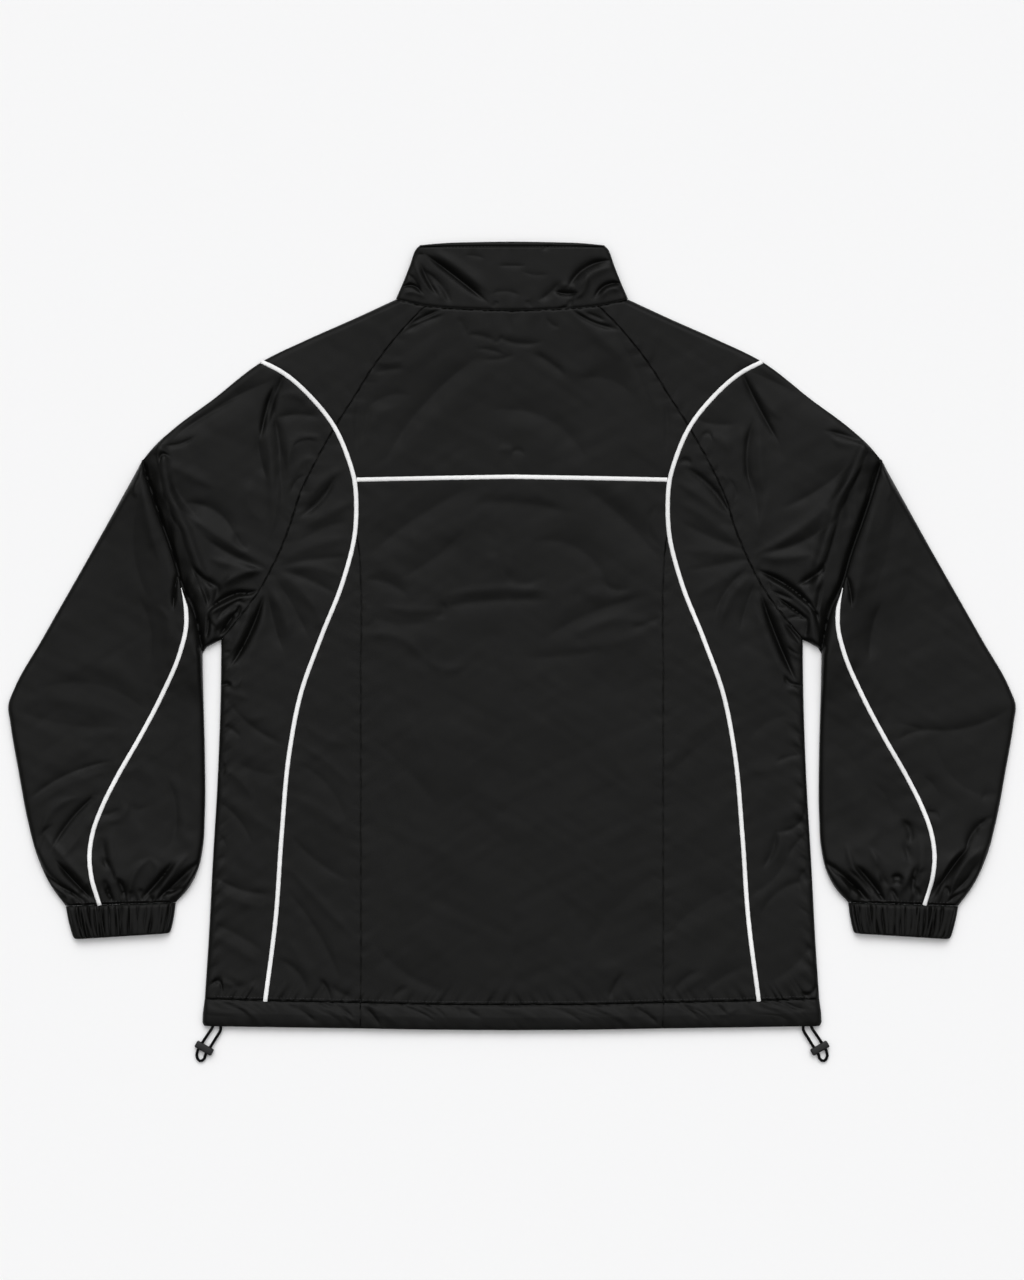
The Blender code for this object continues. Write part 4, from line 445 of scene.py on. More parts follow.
# Folds of the collar and hem, in the same columns
COLLAR_FOLDS = (
    (-85, 380, -27, 335, 0.8, 3.4, -3), (-78, 384, -24, 344, 2, 5, 1.7), (-91, 371, -74, 340, -1.5, 2.8, -1.7),
    (-97, 372, -79, 342, -2, 2.6, 1.1), (-86, 364, -61, 332, 3, 4, -1.3), (-80, 352, -66, 334, 1, 3.4, 0.8),
    (-110, 348, -90, 342, 5, 2, -2.2), (-108, 342, -88, 338, 3, 2.4, 1), (-104, 362, -92, 346, 1, 2.2, -0.9),
    (-99, 376, -88, 381, 2, 3, -0.7), (98, 375, 56, 348, -7, 3.8, -2.5), (100, 368, 62, 340, -7, 4, 1.5),
    (75, 361, 62, 336, 4, 2.6, 1.2), (48, 354, 27, 335, 2, 4.2, -1.2), (43, 344, 65, 342.5, -1.5, 2.8, -2.2),
    (48, 350, 62, 348, 1, 3, 0.8), (61, 338, 47, 327, 3, 1.6, -1.1), (56, 333, 52, 328, 1, 2.2, 0.7),
    (113, 351, 82, 337, -7, 2.4, -2.4), (110, 345, 88, 336, -6, 3, 1.3), (-13, 369.6, 13, 369.6, 0, 2.6, -0.5),
    (10, 364, 36, 361, -2, 3.4, -0.4), (-46, 380, -28, 377, 1, 3, -0.4), (-20, 342, 8, 340, 3, 3.5, -0.5),
    (-14, 334, -20, 328, 0, 2.5, -0.6), (14, 335, 20, 328, 0, 2.5, -0.6), (30, 385, 40, 391, 0, 2, -0.6),
)
HEM_FOLDS = (
    (-224, -368, -196, -386, 2, 2.6, -1), (-196, -367, -158, -381, 3, 3, -1),
    (-188, -370, -150, -390, 2, 3, 0.8), (-150, -370, -132, -390, 2, 2.4, -1.3),
    (-140, -370, -116, -388, 2, 3, 0.9), (-112, -370, -78, -384, 2, 3, -0.8),
    (-70, -371, -30, -382, 3, 3.4, -0.7), (-12, -372, 26, -384, 3, 3.4, 0.7), (34, -371, 70, -386, 3, 3, -0.7),
    (84, -371, 118, -388, 2, 3, 0.8), (120, -371, 146, -388, 2, 2.6, -1.1),
    (-290, -366, -262, -380, 2, 3, -0.9), (-280, -368, -250, -386, 2, 3, 0.8),
    (166, -367, 186, -382, 1, 2.4, -0.9), (198, -367, 216, -379, 1, 2.2, -0.7),
    (226, -372, 204, -379, 1, 2.6, 0.6), (272, -365, 292, -373, -1, 2.2, -1.2),
    (255, -370, 284, -384, 2, 3, 0.6),
)

# Seams of a region: half width and depth of the groove, then spacing, reach, height and slant of its
# puckers, and the depth of the sharp creases among them
BACK_SEAMS = (
    ("raglan", 0.65, 0.8, 9.0, 10.0, 0.35, 0.5, 0.35),
    ("princess", 0.7, 0.45, 9.0, 9.0, 0.25, 0.5, 0.3),
    ("body_piping", 2.6, 0.5, 9.0, 9.0, 0.3, 0.3, 0.0),
    ("yoke", 2.6, 0.4, 12.0, 8.0, 0.2, 0.2, 0.0),
    ("collar", 1.3, 1.2, 11.0, 12.0, 0.5, 0.3, 0.0),
    ("hem", 0.9, 1.0, 8.0, 12.0, 0.6, 0.6, 1.6),
    ("side", 1.0, 0.2, 9.0, 11.0, 1.0, 0.8, 0.6),
)
FOREARM_SEAMS = (
    ("sleeve_piping", 2.6, 0.5, 10.0, 9.0, 0.5, 0.4, 0.0),
    ("cuff", 1.3, 1.8, 6.5, 13.0, 1.3, 0.2, 1.0),
    ("outer_edge", 1.0, 0.0, 24.0, 16.0, 0.4, 0.8, 0.0),
    ("inner_edge", 1.0, 0.0, 20.0, 14.0, 0.4, 0.8, 0.0),
)

# Stitches, and the unevenness of a sewn line from one to the next
STITCH_PITCH = 3.4
STITCH_LENGTH = 2.3
STITCH_RADIUS = 0.24
STITCH_BITE = 0.45
STITCH_WANDER = 0.35

# Soft unevenness of the cloth: wavelength and height
DRIFT = ((60.0, 0.6), (24.0, 0.28), (11.0, 0.1))

# Faint streaks: angle from the out direction, length, width and height
STREAKS = ((0.45, 70.0, 9.0, 0.16), (-0.6, 48.0, 7.0, 0.12), (1.2, 60.0, 8.0, 0.08))

# Gathers above each cuff: up of their middle, how far they reach, height
PUFF_CENTRE = -236.0
PUFF_REACH = 26.0
PUFF_HEIGHT = 2.6


def smooth_line(rows):
    """Fine points of a smooth curve through the rows, SPAN_STEPS to a span."""
    knots = np.array(rows, float)
    spans = np.linalg.norm(np.diff(knots, axis=0), axis=1)
    slopes = np.diff(knots, axis=0) / spans[:, None]
    before, after = spans[:-1, None], spans[1:, None]
    inner = (slopes[:-1] * after + slopes[1:] * before) / (before + after)
    tangents = np.vstack([slopes[:1], inner, slopes[-1:]])
    points = []
    for i, span in enumerate(spans):
        for t in np.arange(SPAN_STEPS) / SPAN_STEPS:
            start = (1 + 2 * t) * (1 - t) ** 2 * knots[i] + t * (1 - t) ** 2 * span * tangents[i]
            end = t * t * (3 - 2 * t) * knots[i + 1] + t * t * (t - 1) * span * tangents[i + 1]
            points.append(start + end)
    points.append(knots[-1])
    return np.array(points)


def stretch(rows, first=0, last=-1):
    """The smooth line from one row to another, turned round if the last row comes first."""
    line = smooth_line(rows)
    last = last % len(rows)
    part = line[min(first, last) * SPAN_STEPS:max(first, last) * SPAN_STEPS + 1]
    return part if first < last else part[::-1]


def run_length(line):
    """Length along the line up to each of its points."""
    return np.hstack([[0], np.cumsum(np.linalg.norm(np.diff(line, axis=0), axis=1))])


def at_lengths(line, marks):
    """Points of the line at the given lengths along it."""
    run = run_length(line)
    return np.stack([np.interp(marks, run, line[:, k]) for k in range(line.shape[1])], axis=1)


def at_shares(line, shares):
    """Points of the line at the given shares of its length."""
    return at_lengths(line, np.asarray(shares) * run_length(line)[-1])


def nearest_on(points, line):
    """Distance from each point to the line, the nearest point on it, the length up to it and the side."""
    start, step = line[:-1], np.diff(line, axis=0)
    square = np.maximum((step ** 2).sum(axis=1), 1e-12)
    run = run_length(line)
    gap, foot = np.empty(len(points)), np.empty((len(points), 2))
    place, side = np.empty(len(points)), np.empty(len(points))
    for low in range(0, len(points), CHUNK):
        part = points[low:low + CHUNK]
        offset = part[:, None, :] - start[None]
        share = np.clip((offset * step).sum(axis=2) / square, 0, 1)
        feet = start[None] + share[:, :, None] * step[None]
        gaps = np.hypot(part[:, None, 0] - feet[:, :, 0], part[:, None, 1] - feet[:, :, 1])
        best = gaps.argmin(axis=1)
        rows = np.arange(len(part))
        span = slice(low, low + len(part))
        gap[span], foot[span] = gaps[rows, best], feet[rows, best]
        place[span] = run[best] + share[rows, best] * np.sqrt(square[best])
        away = part - foot[span]
        side[span] = np.sign(step[best, 0] * away[:, 1] - step[best, 1] * away[:, 0])
    return gap, foot, place, side


def join(*lines):
    """One line from several that follow on from each other."""
    whole = lines[0]
    for line in lines[1:]:
        whole = np.vstack([whole, line[1:]])
    return whole


def mirrored(line):
    """A line from the far side, through the centre, to the near side."""
    flipped = line[::-1] * (-1, 1)
    return np.vstack([flipped[:-1], line])


def ease(value):
    """Smooth step from 0 to 1."""
    value = np.clip(value, 0, 1)
    return value * value * (3 - 2 * value)


def bell(distance, width):
    """1 at no distance, falling away over the width."""
    return np.exp(-(distance / width) ** 2)


def unit(vectors):
    """Vectors brought to length 1."""
    return vectors / np.linalg.norm(vectors, axis=1)[:, None]


def folded(plan):
    """Plan points of both halves on the right-hand one."""
    return np.column_stack([np.abs(plan[:, 0]), plan[:, 1]])


def chance(*numbers):
    """Repeatable value from 0 to 1 for each set of whole numbers."""
    mixed = 0.0
    for k, number in enumerate(numbers):
        mixed = mixed + np.asarray(number, float) * (12.9898, 78.233, 37.719)[k]
    mixed = np.sin(mixed) * 43758.5453
    return mixed - np.floor(mixed)


def waver(place, seed):
    """Smooth uneven wave along a line, from -1 to 1, about one turn to two units."""
    cell = np.floor(place)
    share = ease(place - cell)
    low, high = chance(cell, seed), chance(cell + 1, seed)
    swing = np.where(np.mod(cell, 2) == 0, 1.0, -1.0)
    return swing * ((0.35 + low) * (1 - share) - (0.35 + high) * share) / 1.35


def creases(place, gap, reach, seed):
    """Sharp creases between soft swells, one to a unit of place, each of its own depth, from -1 to 0."""
    place = place + 0.3 * waver(0.7 * place, seed)
    nearest = np.floor(place + 0.5)
    deep = 0.25 + 0.75 * chance(nearest, seed + 1)
    far = reach * (0.4 + 0.9 * chance(nearest, seed + 2))
    return deep * (np.abs(np.sin(math.pi * place)) ** 0.7 - 1) * bell(gap, far)


def cloud(plan, wavelength, seed):
    """Smooth uneven field over the plan, from -1 to 1."""
    place = plan / wavelength
    cell = np.floor(place)
    share = ease(place - cell)
    total = 0.0
    for i in (0, 1):
        for j in (0, 1):
            weight = np.abs(1 - i - share[:, 0]) * np.abs(1 - j - share[:, 1])
            total = total + weight * chance(cell[:, 0] + i, cell[:, 1] + j, seed)
    return 2 * total - 1


def fold_sum(plan, rows):
    """Sum of the folds at signed plan points; each is a soft ridge or trough along a bowed line."""
    total = np.zeros(len(plan))
    for x_a, up_a, x_b, up_b, bow, width, height, *lean in rows:
        start, end = np.array((x_a, up_a), float), np.array((x_b, up_b), float)
        length = np.linalg.norm(end - start)
        along = (end - start) / length
        across = np.array((-along[1], along[0]))
        margin = 3 * width + abs(bow) + length * FOLD_OVERRUN
        low, high = np.minimum(start, end) - margin, np.maximum(start, end) + margin
        near = np.flatnonzero(((plan > low) & (plan < high)).all(axis=1))
        if not len(near):
            continue
        offset = plan[near] - start
        share = offset @ along / length
        middle = np.clip(share, 0, 1)
        side = offset @ across - bow * 4 * middle * (1 - middle)
        gain, spread, crest = TROUGH_SHAPE if height < 0 else RIDGE_SHAPE
        full = np.sin(math.pi * np.clip((share + FOLD_OVERRUN) / (1 + 2 * FOLD_OVERRUN), 0, 1))
        reach = width * spread * (FOLD_POINT + (FOLD_FULL - FOLD_POINT) * full)
        if lean:
            reach *= 1 + FOLD_LEAN * lean[0] * np.sign(side)
        ends = ease((share + FOLD_OVERRUN) / FOLD_FADE) * ease((1 + FOLD_OVERRUN - share) / FOLD_FADE)
        total[near] += gain * height * ends * np.exp(-np.abs(side / reach) ** crest)
    return total


def seam_work(plan, seams):
    """Grooves along the seams and the small puckers that cross them."""
    total = np.zeros(len(plan))
    out = folded(plan)
    sign = np.where(plan[:, 0] < 0, 1.0, 7.0)
    for k, (name, width, depth, spacing, reach, height, slant, pinch) in enumerate(seams):
        gap, _, place, side = nearest_on(out, SEAM_LINES[name])
        sewn = gap + STITCH_WANDER * waver(place / (2 * STITCH_PITCH), sign + 5) * np.sign(side)
        bite = 1 + STITCH_BITE * waver(place / STITCH_PITCH, sign)
        total -= depth * bite * bell(sewn, width)
        seed = 3 * k + sign + np.where(side > 0, 0.0, 31.0)
        total += pinch * creases((place + slant * gap) / spacing, gap, reach, seed + 60)
        wave = waver((place + slant * gap) / spacing, seed)
        strength = 0.4 + 0.9 * chance(np.floor(place / (3 * spacing)), seed)
        total += height * wave * strength * bell(gap, reach) * ease(gap / (2 * width))
    return total


FOLD_LINE = stretch(SLEEVE_FOLD)
BACK_EDGES = (stretch(SHOULDER_EDGE), join(stretch(UNDERARM_EDGE)[::-1], stretch(SIDE_EDGE)))
INNER_EDGE, OUTER_EDGE = stretch(INNER_SLEEVE_EDGE), stretch(OUTER_SLEEVE_EDGE)
UNDER_EDGES = (
    join(stretch(SHOULDER_EDGE), OUTER_EDGE),
    join(INNER_EDGE[::-1], stretch(UNDERARM_EDGE)[::-1], stretch(SIDE_EDGE)),
)
CUFF_SEAM = np.array((OUTER_SLEEVE_EDGE[-1], INNER_SLEEVE_EDGE[-1]), float)
SEAM_LINES = {
    "raglan": stretch(RAGLAN_SEAM), "princess": stretch(PRINCESS_SEAM), "body_piping": stretch(BODY_PIPING),
    "yoke": stretch(YOKE_SEAM), "collar": stretch(COLLAR_SEAM), "hem": stretch(HEM_SEAM),
    "side": stretch(SIDE_EDGE), "sleeve_piping": stretch(SLEEVE_PIPING), "cuff": CUFF_SEAM,
    "outer_edge": OUTER_EDGE, "inner_edge": INNER_EDGE,
}


def drift(plan, seed):
    """Soft unevenness of cloth that lies loose."""
    total = sum(height * cloud(plan, wavelength, seed + k) for k, (wavelength, height) in enumerate(DRIFT))
    side = np.where(plan[:, 0] < 0, 0.0, 900.0)
    out = np.abs(plan[:, 0])
    for k, (angle, long, short, height) in enumerate(STREAKS):
        along = (out * math.cos(angle) + plan[:, 1] * math.sin(angle) + side) / long
        across = (plan[:, 1] * math.cos(angle) - out * math.sin(angle)) / short
        total += height * cloud(np.column_stack([along, across]), 1.0, seed + 7 + k)
    return total


def kept_up(height):
    """The height, held softly above the least one."""
    return LEAST_HEIGHT + np.logaddexp(0, 2.0 * (height - LEAST_HEIGHT)) / 2.0


def back_plain(plan):
    """Height of the yoke, back, side, shoulder and upper sleeve cloth away from rolled edges."""
    out = folded(plan)
    height = BACK_HEIGHT + fold_sum(plan, BACK_FOLDS) + drift(plan, 5)
    height += seam_work(plan, BACK_SEAMS)
    height += NECK_RISE * bell(nearest_on(out, SEAM_LINES["collar"])[0], NECK_REACH)
    gap, foot, _, _ = nearest_on(out, FOLD_LINE)
    for name, side in SIDES:
        here = np.flatnonzero((plan[:, 0] * side > 0) & (gap < 60))
        ups, widths = np.array(VALLEYS[name], float).T
        width = np.interp(foot[here, 1], ups, widths)
        inside = ease((width - gap[here]) / VALLEY_SLOPE + 0.5)
        step, reach = VALLEY_STEPS[name]
        climb = (1 - step) * np.clip(gap[here] / np.maximum(width, 1), 0, 1) ** VALLEY_BEND
        climb += step * (1 - bell(gap[here], reach))
        crumple = VALLEY_CRUMPLE * cloud(plan[here] * (1.0, 0.6), 8.0, 3) * ease(gap[here] / 4)
        floor = VALLEY_LOW + (VALLEY_TOP - VALLEY_LOW) * climb + crumple
        ridge = VALLEY_RIDGE * bell(gap[here] - width - VALLEY_RIDGE_WIDTH, VALLEY_RIDGE_WIDTH)
        height[here] = (height[here] + ridge) * (1 - inside) + floor * inside
    return kept_up(height)


def forearm_plain(plan):
    """Height of the forearm cloth away from rolled edges: highest where it folds over the upper sleeve."""
    out = folded(plan)
    height = FOREARM_HEIGHT + FOLD_RISE * bell(nearest_on(out, FOLD_LINE)[0], FOLD_REACH)
    height = height + fold_sum(plan, FOREARM_FOLDS) + drift(plan, 11)
    height += PUFF_HEIGHT * bell(plan[:, 1] - PUFF_CENTRE, PUFF_REACH)
    height += seam_work(plan, FOREARM_SEAMS)
    return kept_up(height)


def roll_over(out, height, edges, low, reach):
    """Heights of cloth that turns down, or up, to the low height at its edges."""
    gap = np.min([nearest_on(out, edge)[0] for edge in edges], axis=0)
    sine = np.clip(1 - gap / reach, 0, 1)
    rise = np.where(np.abs(height - low) < LEAST_RISE, LEAST_RISE, height - low)
    return low + rise * np.sqrt(1 - sine ** 2)


def front_lift(up):
    """Height that the fronts are raised by towards the collar."""
    return COLLAR_LIFT * ease((up - FRONT_LIFT_START) / (FRONT_LIFT_END - FRONT_LIFT_START))


def surface(region, plan):
    """Heights of a region's outer face at signed plan points."""
    out = folded(plan)
    if region == "back":
        return roll_over(out, back_plain(plan), BACK_EDGES, UPPER_EDGE, ROLL)
    if region == "forearm":
        gap, foot, _, _ = nearest_on(out, FOLD_LINE)
        outer_gap = nearest_on(out, OUTER_EDGE)[0]
        under = VALLEY_LOW + FOLD_CLEARANCE
        near = bell(gap, FOLD_EDGE_REACH) * ease(outer_gap / ELBOW_FADE)
        low = UPPER_EDGE + (under - EDGE_HEIGHT) * near
        height = roll_over(out, forearm_plain(plan), (INNER_EDGE, OUTER_EDGE), low, ROLL)
        wall = np.interp(foot[:, 1], *np.array(FOLD_WALL, float).T)
        roll = np.sqrt(1 - np.clip(1 - gap / FOLD_ROLL, 0, 1) ** 2)
        return low + (height - low) * (wall * ease(gap / FOLD_WALL_WIDTH) + (1 - wall) * roll)
    lift = front_lift(plan[:, 1]) * ease((FRONT_LIFT_OUT - out[:, 0]) / FRONT_LIFT_FADE)
    return roll_over(out, lift, UNDER_EDGES, EDGE_HEIGHT - SEW_GAP, UNDER_ROLL)


def even_marks(total, count):
    """Lengths along a side: close together next to both borders, even between them."""
    edge = np.array(BORDER_MARKS) * min(1, BORDER_SHARE * total / BORDER_MARKS[-1])
    middle = np.linspace(edge[-1], total - edge[-1], count + 1)
    return np.hstack([edge[:-1], middle, (total - edge[:-1])[::-1]])


def patch(piece, cell, bottom, top, left, right):
    """Fine grid of plan points between four lines that meet at the corners, rows from bottom to top."""
    sides = [np.asarray(line, float) for line in (bottom, top, left, right)]
    totals = [run_length(line)[-1] for line in sides]
    share_across, share_along = PIECE_CELLS[piece]
    across = max(4, round(max(totals[:2]) / (cell * share_across)))
    along = max(4, round(max(totals[2:]) / (cell * share_along)))
    marks = [even_marks(total, count) / total for total, count in zip(totals, (across, across, along, along))]
    bottom, top, left, right = (at_shares(line, mark) for line, mark in zip(sides, marks))
    blend_u = np.linspace(0, 1, len(bottom))[None, :]
    blend_v = np.linspace(0, 1, len(left))[:, None]
    v = (marks[2][:, None] * (1 - blend_u) + marks[3][:, None] * blend_u)[:, :, None]
    u = (marks[0][None] * (1 - blend_v) + marks[1][None] * blend_v)[:, :, None]
    lofted = (1 - v) * bottom[None] + v * top[None] + (1 - u) * left[:, None] + u * right[:, None]
    corners = ((1 - u) * (1 - v) * bottom[0] + u * (1 - v) * bottom[-1]
               + (1 - u) * v * top[0] + u * v * top[-1])
    return lofted - corners


def trimmed(grid, seams, gap):
    """The grid with half the seam gap taken off along each named side."""
    shift = np.zeros_like(grid)
    borders = {
        "bottom": (np.s_[0, :], np.s_[1, :]), "top": (np.s_[-1, :], np.s_[-2, :]),
        "left": (np.s_[:, 0], np.s_[:, 1]), "right": (np.s_[:, -1], np.s_[:, -2]),
    }
    for side in seams:
        edge, inner = borders[side]
        line = grid[edge]
        tangent = np.gradient(line, axis=0)
        normal = np.stack([-tangent[:, 1], tangent[:, 0]], axis=1)
        normal /= np.maximum(np.linalg.norm(normal, axis=1), 1e-9)[:, None]
        middle = len(line) // 2
        if ((grid[inner] - line)[middle] * normal[middle]).sum() < 0:
            normal = -normal
        shift[edge] += normal * gap / 2
    return grid + shift


def normals_of(grid, up=1.0):
    """Unit normals of a grid of points in space, turned to the side given by up."""
    normal = np.cross(np.gradient(grid, axis=1), np.gradient(grid, axis=0))
    size = np.linalg.norm(normal, axis=2, keepdims=True)
    normal = np.where(size > 1e-9, normal / np.maximum(size, 1e-9), (0, 0, 1))
    if np.median(normal[:, :, 2]) * up < 0:
        normal = -normal
    return normal


def overhang(flat, level):
    """Plan shift of the forearm's folded edge, which bulges over the valley and is tucked in below."""
    gap, _, place, _ = nearest_on(folded(flat), FOLD_LINE)
    run = run_length(FOLD_LINE)
    ahead, behind = (at_lengths(FOLD_LINE, np.clip(place + step, 0, run[-1])) for step in (2, -2))
    step = unit(ahead - behind)
    inward = np.stack([-step[:, 1], step[:, 0]], axis=1)
    low = VALLEY_LOW + FOLD_CLEARANCE
    share = np.clip((level - low) / FOLD_BULGE_HEIGHT, 0, 1)
    reach = FOLD_TUCK * (1 - share) ** 3 - FOLD_BULGE * np.sin(math.pi * share)
    fade = np.exp(-(gap / FOLD_EDGE_REACH) ** 4) * np.sin(math.pi * np.clip(place / run[-1], 0, 1)) ** 0.5
    return inward * (reach * fade)[:, None] * np.column_stack([np.sign(flat[:, 0]), np.ones(len(flat))])


def raised(region, plan):
    """Points in space for a grid of signed plan points."""
    flat = plan.reshape(-1, 2)
    level = surface(region, flat)
    if region == "forearm":
        flat = flat + overhang(flat, level)
    return np.column_stack([flat, level]).reshape(*plan.shape[:2], 3)


def added(name, data):
    """New object in the scene's own collection."""
    made = bpy.data.objects.new(name, data)
    bpy.context.scene.collection.objects.link(made)
    return made


def add_mesh(name, points, faces, finish, sharp=SHARP_ANGLE):
    """New smooth piece that rides the jacket's body and has its material."""
    mesh = bpy.data.meshes.new(name)
    mesh.from_pydata((np.asarray(points) * MM).tolist(), [], faces)
    form = bmesh.new()
    form.from_mesh(mesh)
    bmesh.ops.recalc_face_normals(form, faces=form.faces)
    form.to_mesh(mesh)
    form.free()
    mesh.shade_smooth()
    mesh.set_sharp_from_angle(angle=math.radians(sharp))
    mesh.materials.append(finish)
    made = added(name, mesh)
    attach(made, BODY)
    return made


def quads(rows, columns, offset=0, wrap_rows=False, wrap_columns=False):
    """Faces of a grid of points."""
    j, i = np.meshgrid(np.arange(rows if wrap_rows else rows - 1),
                       np.arange(columns if wrap_columns else columns - 1), indexing="ij")
    k, m = (j + 1) % rows, (i + 1) % columns
    faces = np.stack([j * columns + i, j * columns + m, k * columns + m, k * columns + i], axis=2)
    return (faces.reshape(-1, 4) + offset).tolist()


def coarse_faces(rows, columns, step, offset):
    """Wide faces over a fine grid, which still meet every fine point of its border."""
    row_marks = sorted({*range(0, rows, step), rows - 1})
    column_marks = sorted({*range(0, columns, step), columns - 1})
    faces = []
    for low, high in zip(row_marks, row_marks[1:]):
        for near, far in zip(column_marks, column_marks[1:]):
            ring = [(low, i) for i in (range(near, far) if low == 0 else (near,))]
            ring += [(j, far) for j in (range(low, high) if far == columns - 1 else (low,))]
            ring += [(high, i) for i in (range(far, near, -1) if high == rows - 1 else (far,))]
            ring += [(j, near) for j in (range(high, low, -1) if near == 0 else (high,))]
            faces.append([offset + j * columns + i for j, i in ring[::-1]])
    return faces


def lowered(outer, inner, thickness, reach):
    """Heights of the coarse inner face, under every trough but not in the cloth below."""
    rows, columns = outer.shape[:2]
    padded = np.pad(outer[..., 2], reach, mode="edge")
    along = np.min([padded[:, k:k + columns] for k in range(2 * reach + 1)], axis=0)
    deepest = np.min([along[k:k + rows] for k in range(2 * reach + 1)], axis=0)
    below = surface("under", inner[..., :2].reshape(-1, 2)).reshape(rows, columns) + thickness + UNDER_GAP
    rest = np.minimum(below, inner[..., 2])
    level = np.clip(deepest - thickness, rest, inner[..., 2])
    level[[0, -1]], level[:, [0, -1]] = inner[[0, -1], :, 2], inner[:, [0, -1], 2]
    return level


def wall_between(name, outer, inner, finish, step):
    """Closed wall between two equal grids, the inner one in faces a step wide."""
    rows, columns = outer.shape[:2]
    points = np.concatenate([outer.reshape(-1, 3), inner.reshape(-1, 3)])
    half = rows * columns
    faces = quads(rows, columns) + coarse_faces(rows, columns, step, half)
    ring = list(range(columns))
    ring += [j * columns + columns - 1 for j in range(1, rows)]
    ring += [(rows - 1) * columns + i for i in range(columns - 2, -1, -1)]
    ring += [j * columns for j in range(rows - 2, 0, -1)]
    for a, b in zip(ring, ring[1:] + ring[:1]):
        faces.append([b, a, half + a, half + b])
    used = np.unique(np.concatenate([np.array(face) for face in faces]))
    place = np.full(len(points), -1)
    place[used] = np.arange(len(used))
    faces = [place[np.array(face)].tolist() for face in faces]
    return add_mesh(name, points[used], faces, finish, sharp=CLOTH_SHARP_ANGLE)


def declare_cloth(outer, node):
    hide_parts(node)


def cloth_piece(name, grid, region, seams):
    """Cloth panel from its plan grid, thin and closed, with a coarser inner face; the imported part of that
    name is hidden.
    """
    look = bpy.context.scene.jacket
    outer = raised(region, trimmed(grid, seams, look.seam_gap))
    up = -1.0 if region == "under" else 1.0
    inner = outer - normals_of(outer, up) * look.thickness
    if up > 0:
        inner[..., 2] = lowered(outer, inner, look.thickness, INNER_STEP)
    made = wall_between(name, outer, inner, find_material("jacket_shell"), INNER_STEP)
    declare_cloth(outer, name)


def side_pieces(grids, names):
    """The named panels of both sides."""
    for side_name, side in SIDES:
        for piece in names:
            region, seams, rest = PANELS[piece]
            cloth_piece(f"{piece}_{side_name}", grids[piece] * (side, 1), region, seams)


def tube(name, ring, finish):
    """Closed piece from its rings of points, stations by corners, with ends that are filled."""
    stations, corners = ring.shape[:2]
    points = ring.reshape(-1, 3)
    faces = quads(stations, corners, wrap_columns=True)
    faces += [list(range(corners))[::-1], [(stations - 1) * corners + c for c in range(corners)]]
    return add_mesh(name, points, faces, finish)


def body_lines():
    """Lines of the right-hand panels of the body and sleeves."""
    return {
        "raglan_top": stretch(RAGLAN_SEAM, 0, RAGLAN_CROSSING),
        "raglan_low": stretch(RAGLAN_SEAM, RAGLAN_CROSSING, -1),
        "piping_top": stretch(BODY_PIPING, PIPING_CROSSING, 0),
        "yoke_side": stretch(BODY_PIPING, PIPING_CROSSING, PIPING_YOKE),
        "back_side": stretch(BODY_PIPING, PIPING_YOKE, PIPING_STRIP),
        "piping_low": stretch(BODY_PIPING, PIPING_STRIP, -1),
        "princess": stretch(PRINCESS_SEAM),
        "collar_centre": stretch(COLLAR_SEAM, 0, COLLAR_RAGLAN),
        "collar_side": stretch(COLLAR_SEAM, COLLAR_RAGLAN, -1),
        "hem_centre": stretch(HEM_SEAM, 0, HEM_PRINCESS),
        "hem_strip": stretch(HEM_SEAM, HEM_PRINCESS, HEM_PIPING),
        "hem_side": stretch(HEM_SEAM, HEM_PIPING, -1),
    }


def after(line, length):
    """The part of a line that comes after a length along it."""
    run = run_length(line)
    return at_lengths(line, np.hstack([[length], run[run > length + 1e-6]]))


def centre_grids(cell):
    """Plan grids of the yoke and centre back."""
    lines = body_lines()
    yoke_line = mirrored(stretch(YOKE_SEAM))
    yoke_side = join(lines["yoke_side"][::-1], lines["raglan_top"][::-1])
    back_side = join(lines["princess"][::-1], lines["back_side"][::-1])
    yoke = patch("yoke", cell, yoke_line, mirrored(lines["collar_centre"]), yoke_side * (-1, 1), yoke_side)
    hem = mirrored(lines["hem_centre"])
    back = patch("centre_back", cell, hem, yoke_line, back_side * (-1, 1), back_side)
    return {"yoke": yoke, "centre_back": back}


def side_grids(cell):
    """Plan grids of the right-hand strip, side panel, shoulder and upper sleeve."""
    lines = body_lines()
    princess, piping_low = after(lines["princess"], STRIP_START), after(lines["piping_low"], STRIP_START)
    strip_top = np.array([princess[0], piping_low[0]])
    strip = patch("back_side", cell, lines["hem_strip"], strip_top, princess[::-1], piping_low[::-1])
    seams = join(lines["yoke_side"], lines["back_side"], lines["piping_low"])
    side = patch("side_panel", cell, lines["hem_side"], lines["raglan_low"], seams[::-1],
                 stretch(SIDE_EDGE)[::-1])
    shoulder = patch("shoulder", cell, lines["collar_side"], lines["piping_top"], lines["raglan_top"],
                     stretch(SHOULDER_EDGE, 0, SHOULDER_PIPING))
    fold = FOLD_LINE
    share = run_length(fold) / run_length(fold)[-1]
    tangent = np.gradient(fold, axis=0)
    outward = unit(np.stack([-tangent[:, 1], tangent[:, 0]], axis=1))
    tucked = fold + outward * (TUCK * np.sin(math.pi * share) ** 0.7)[:, None]
    sleeve = patch("upper_sleeve", cell, lines["piping_top"], join(stretch(UNDERARM_EDGE), tucked[::-1]),
                   lines["raglan_low"], stretch(SHOULDER_EDGE, SHOULDER_PIPING, -1))
    return {"back_side": strip, "side_panel": side, "shoulder": shoulder, "upper_sleeve": sleeve}


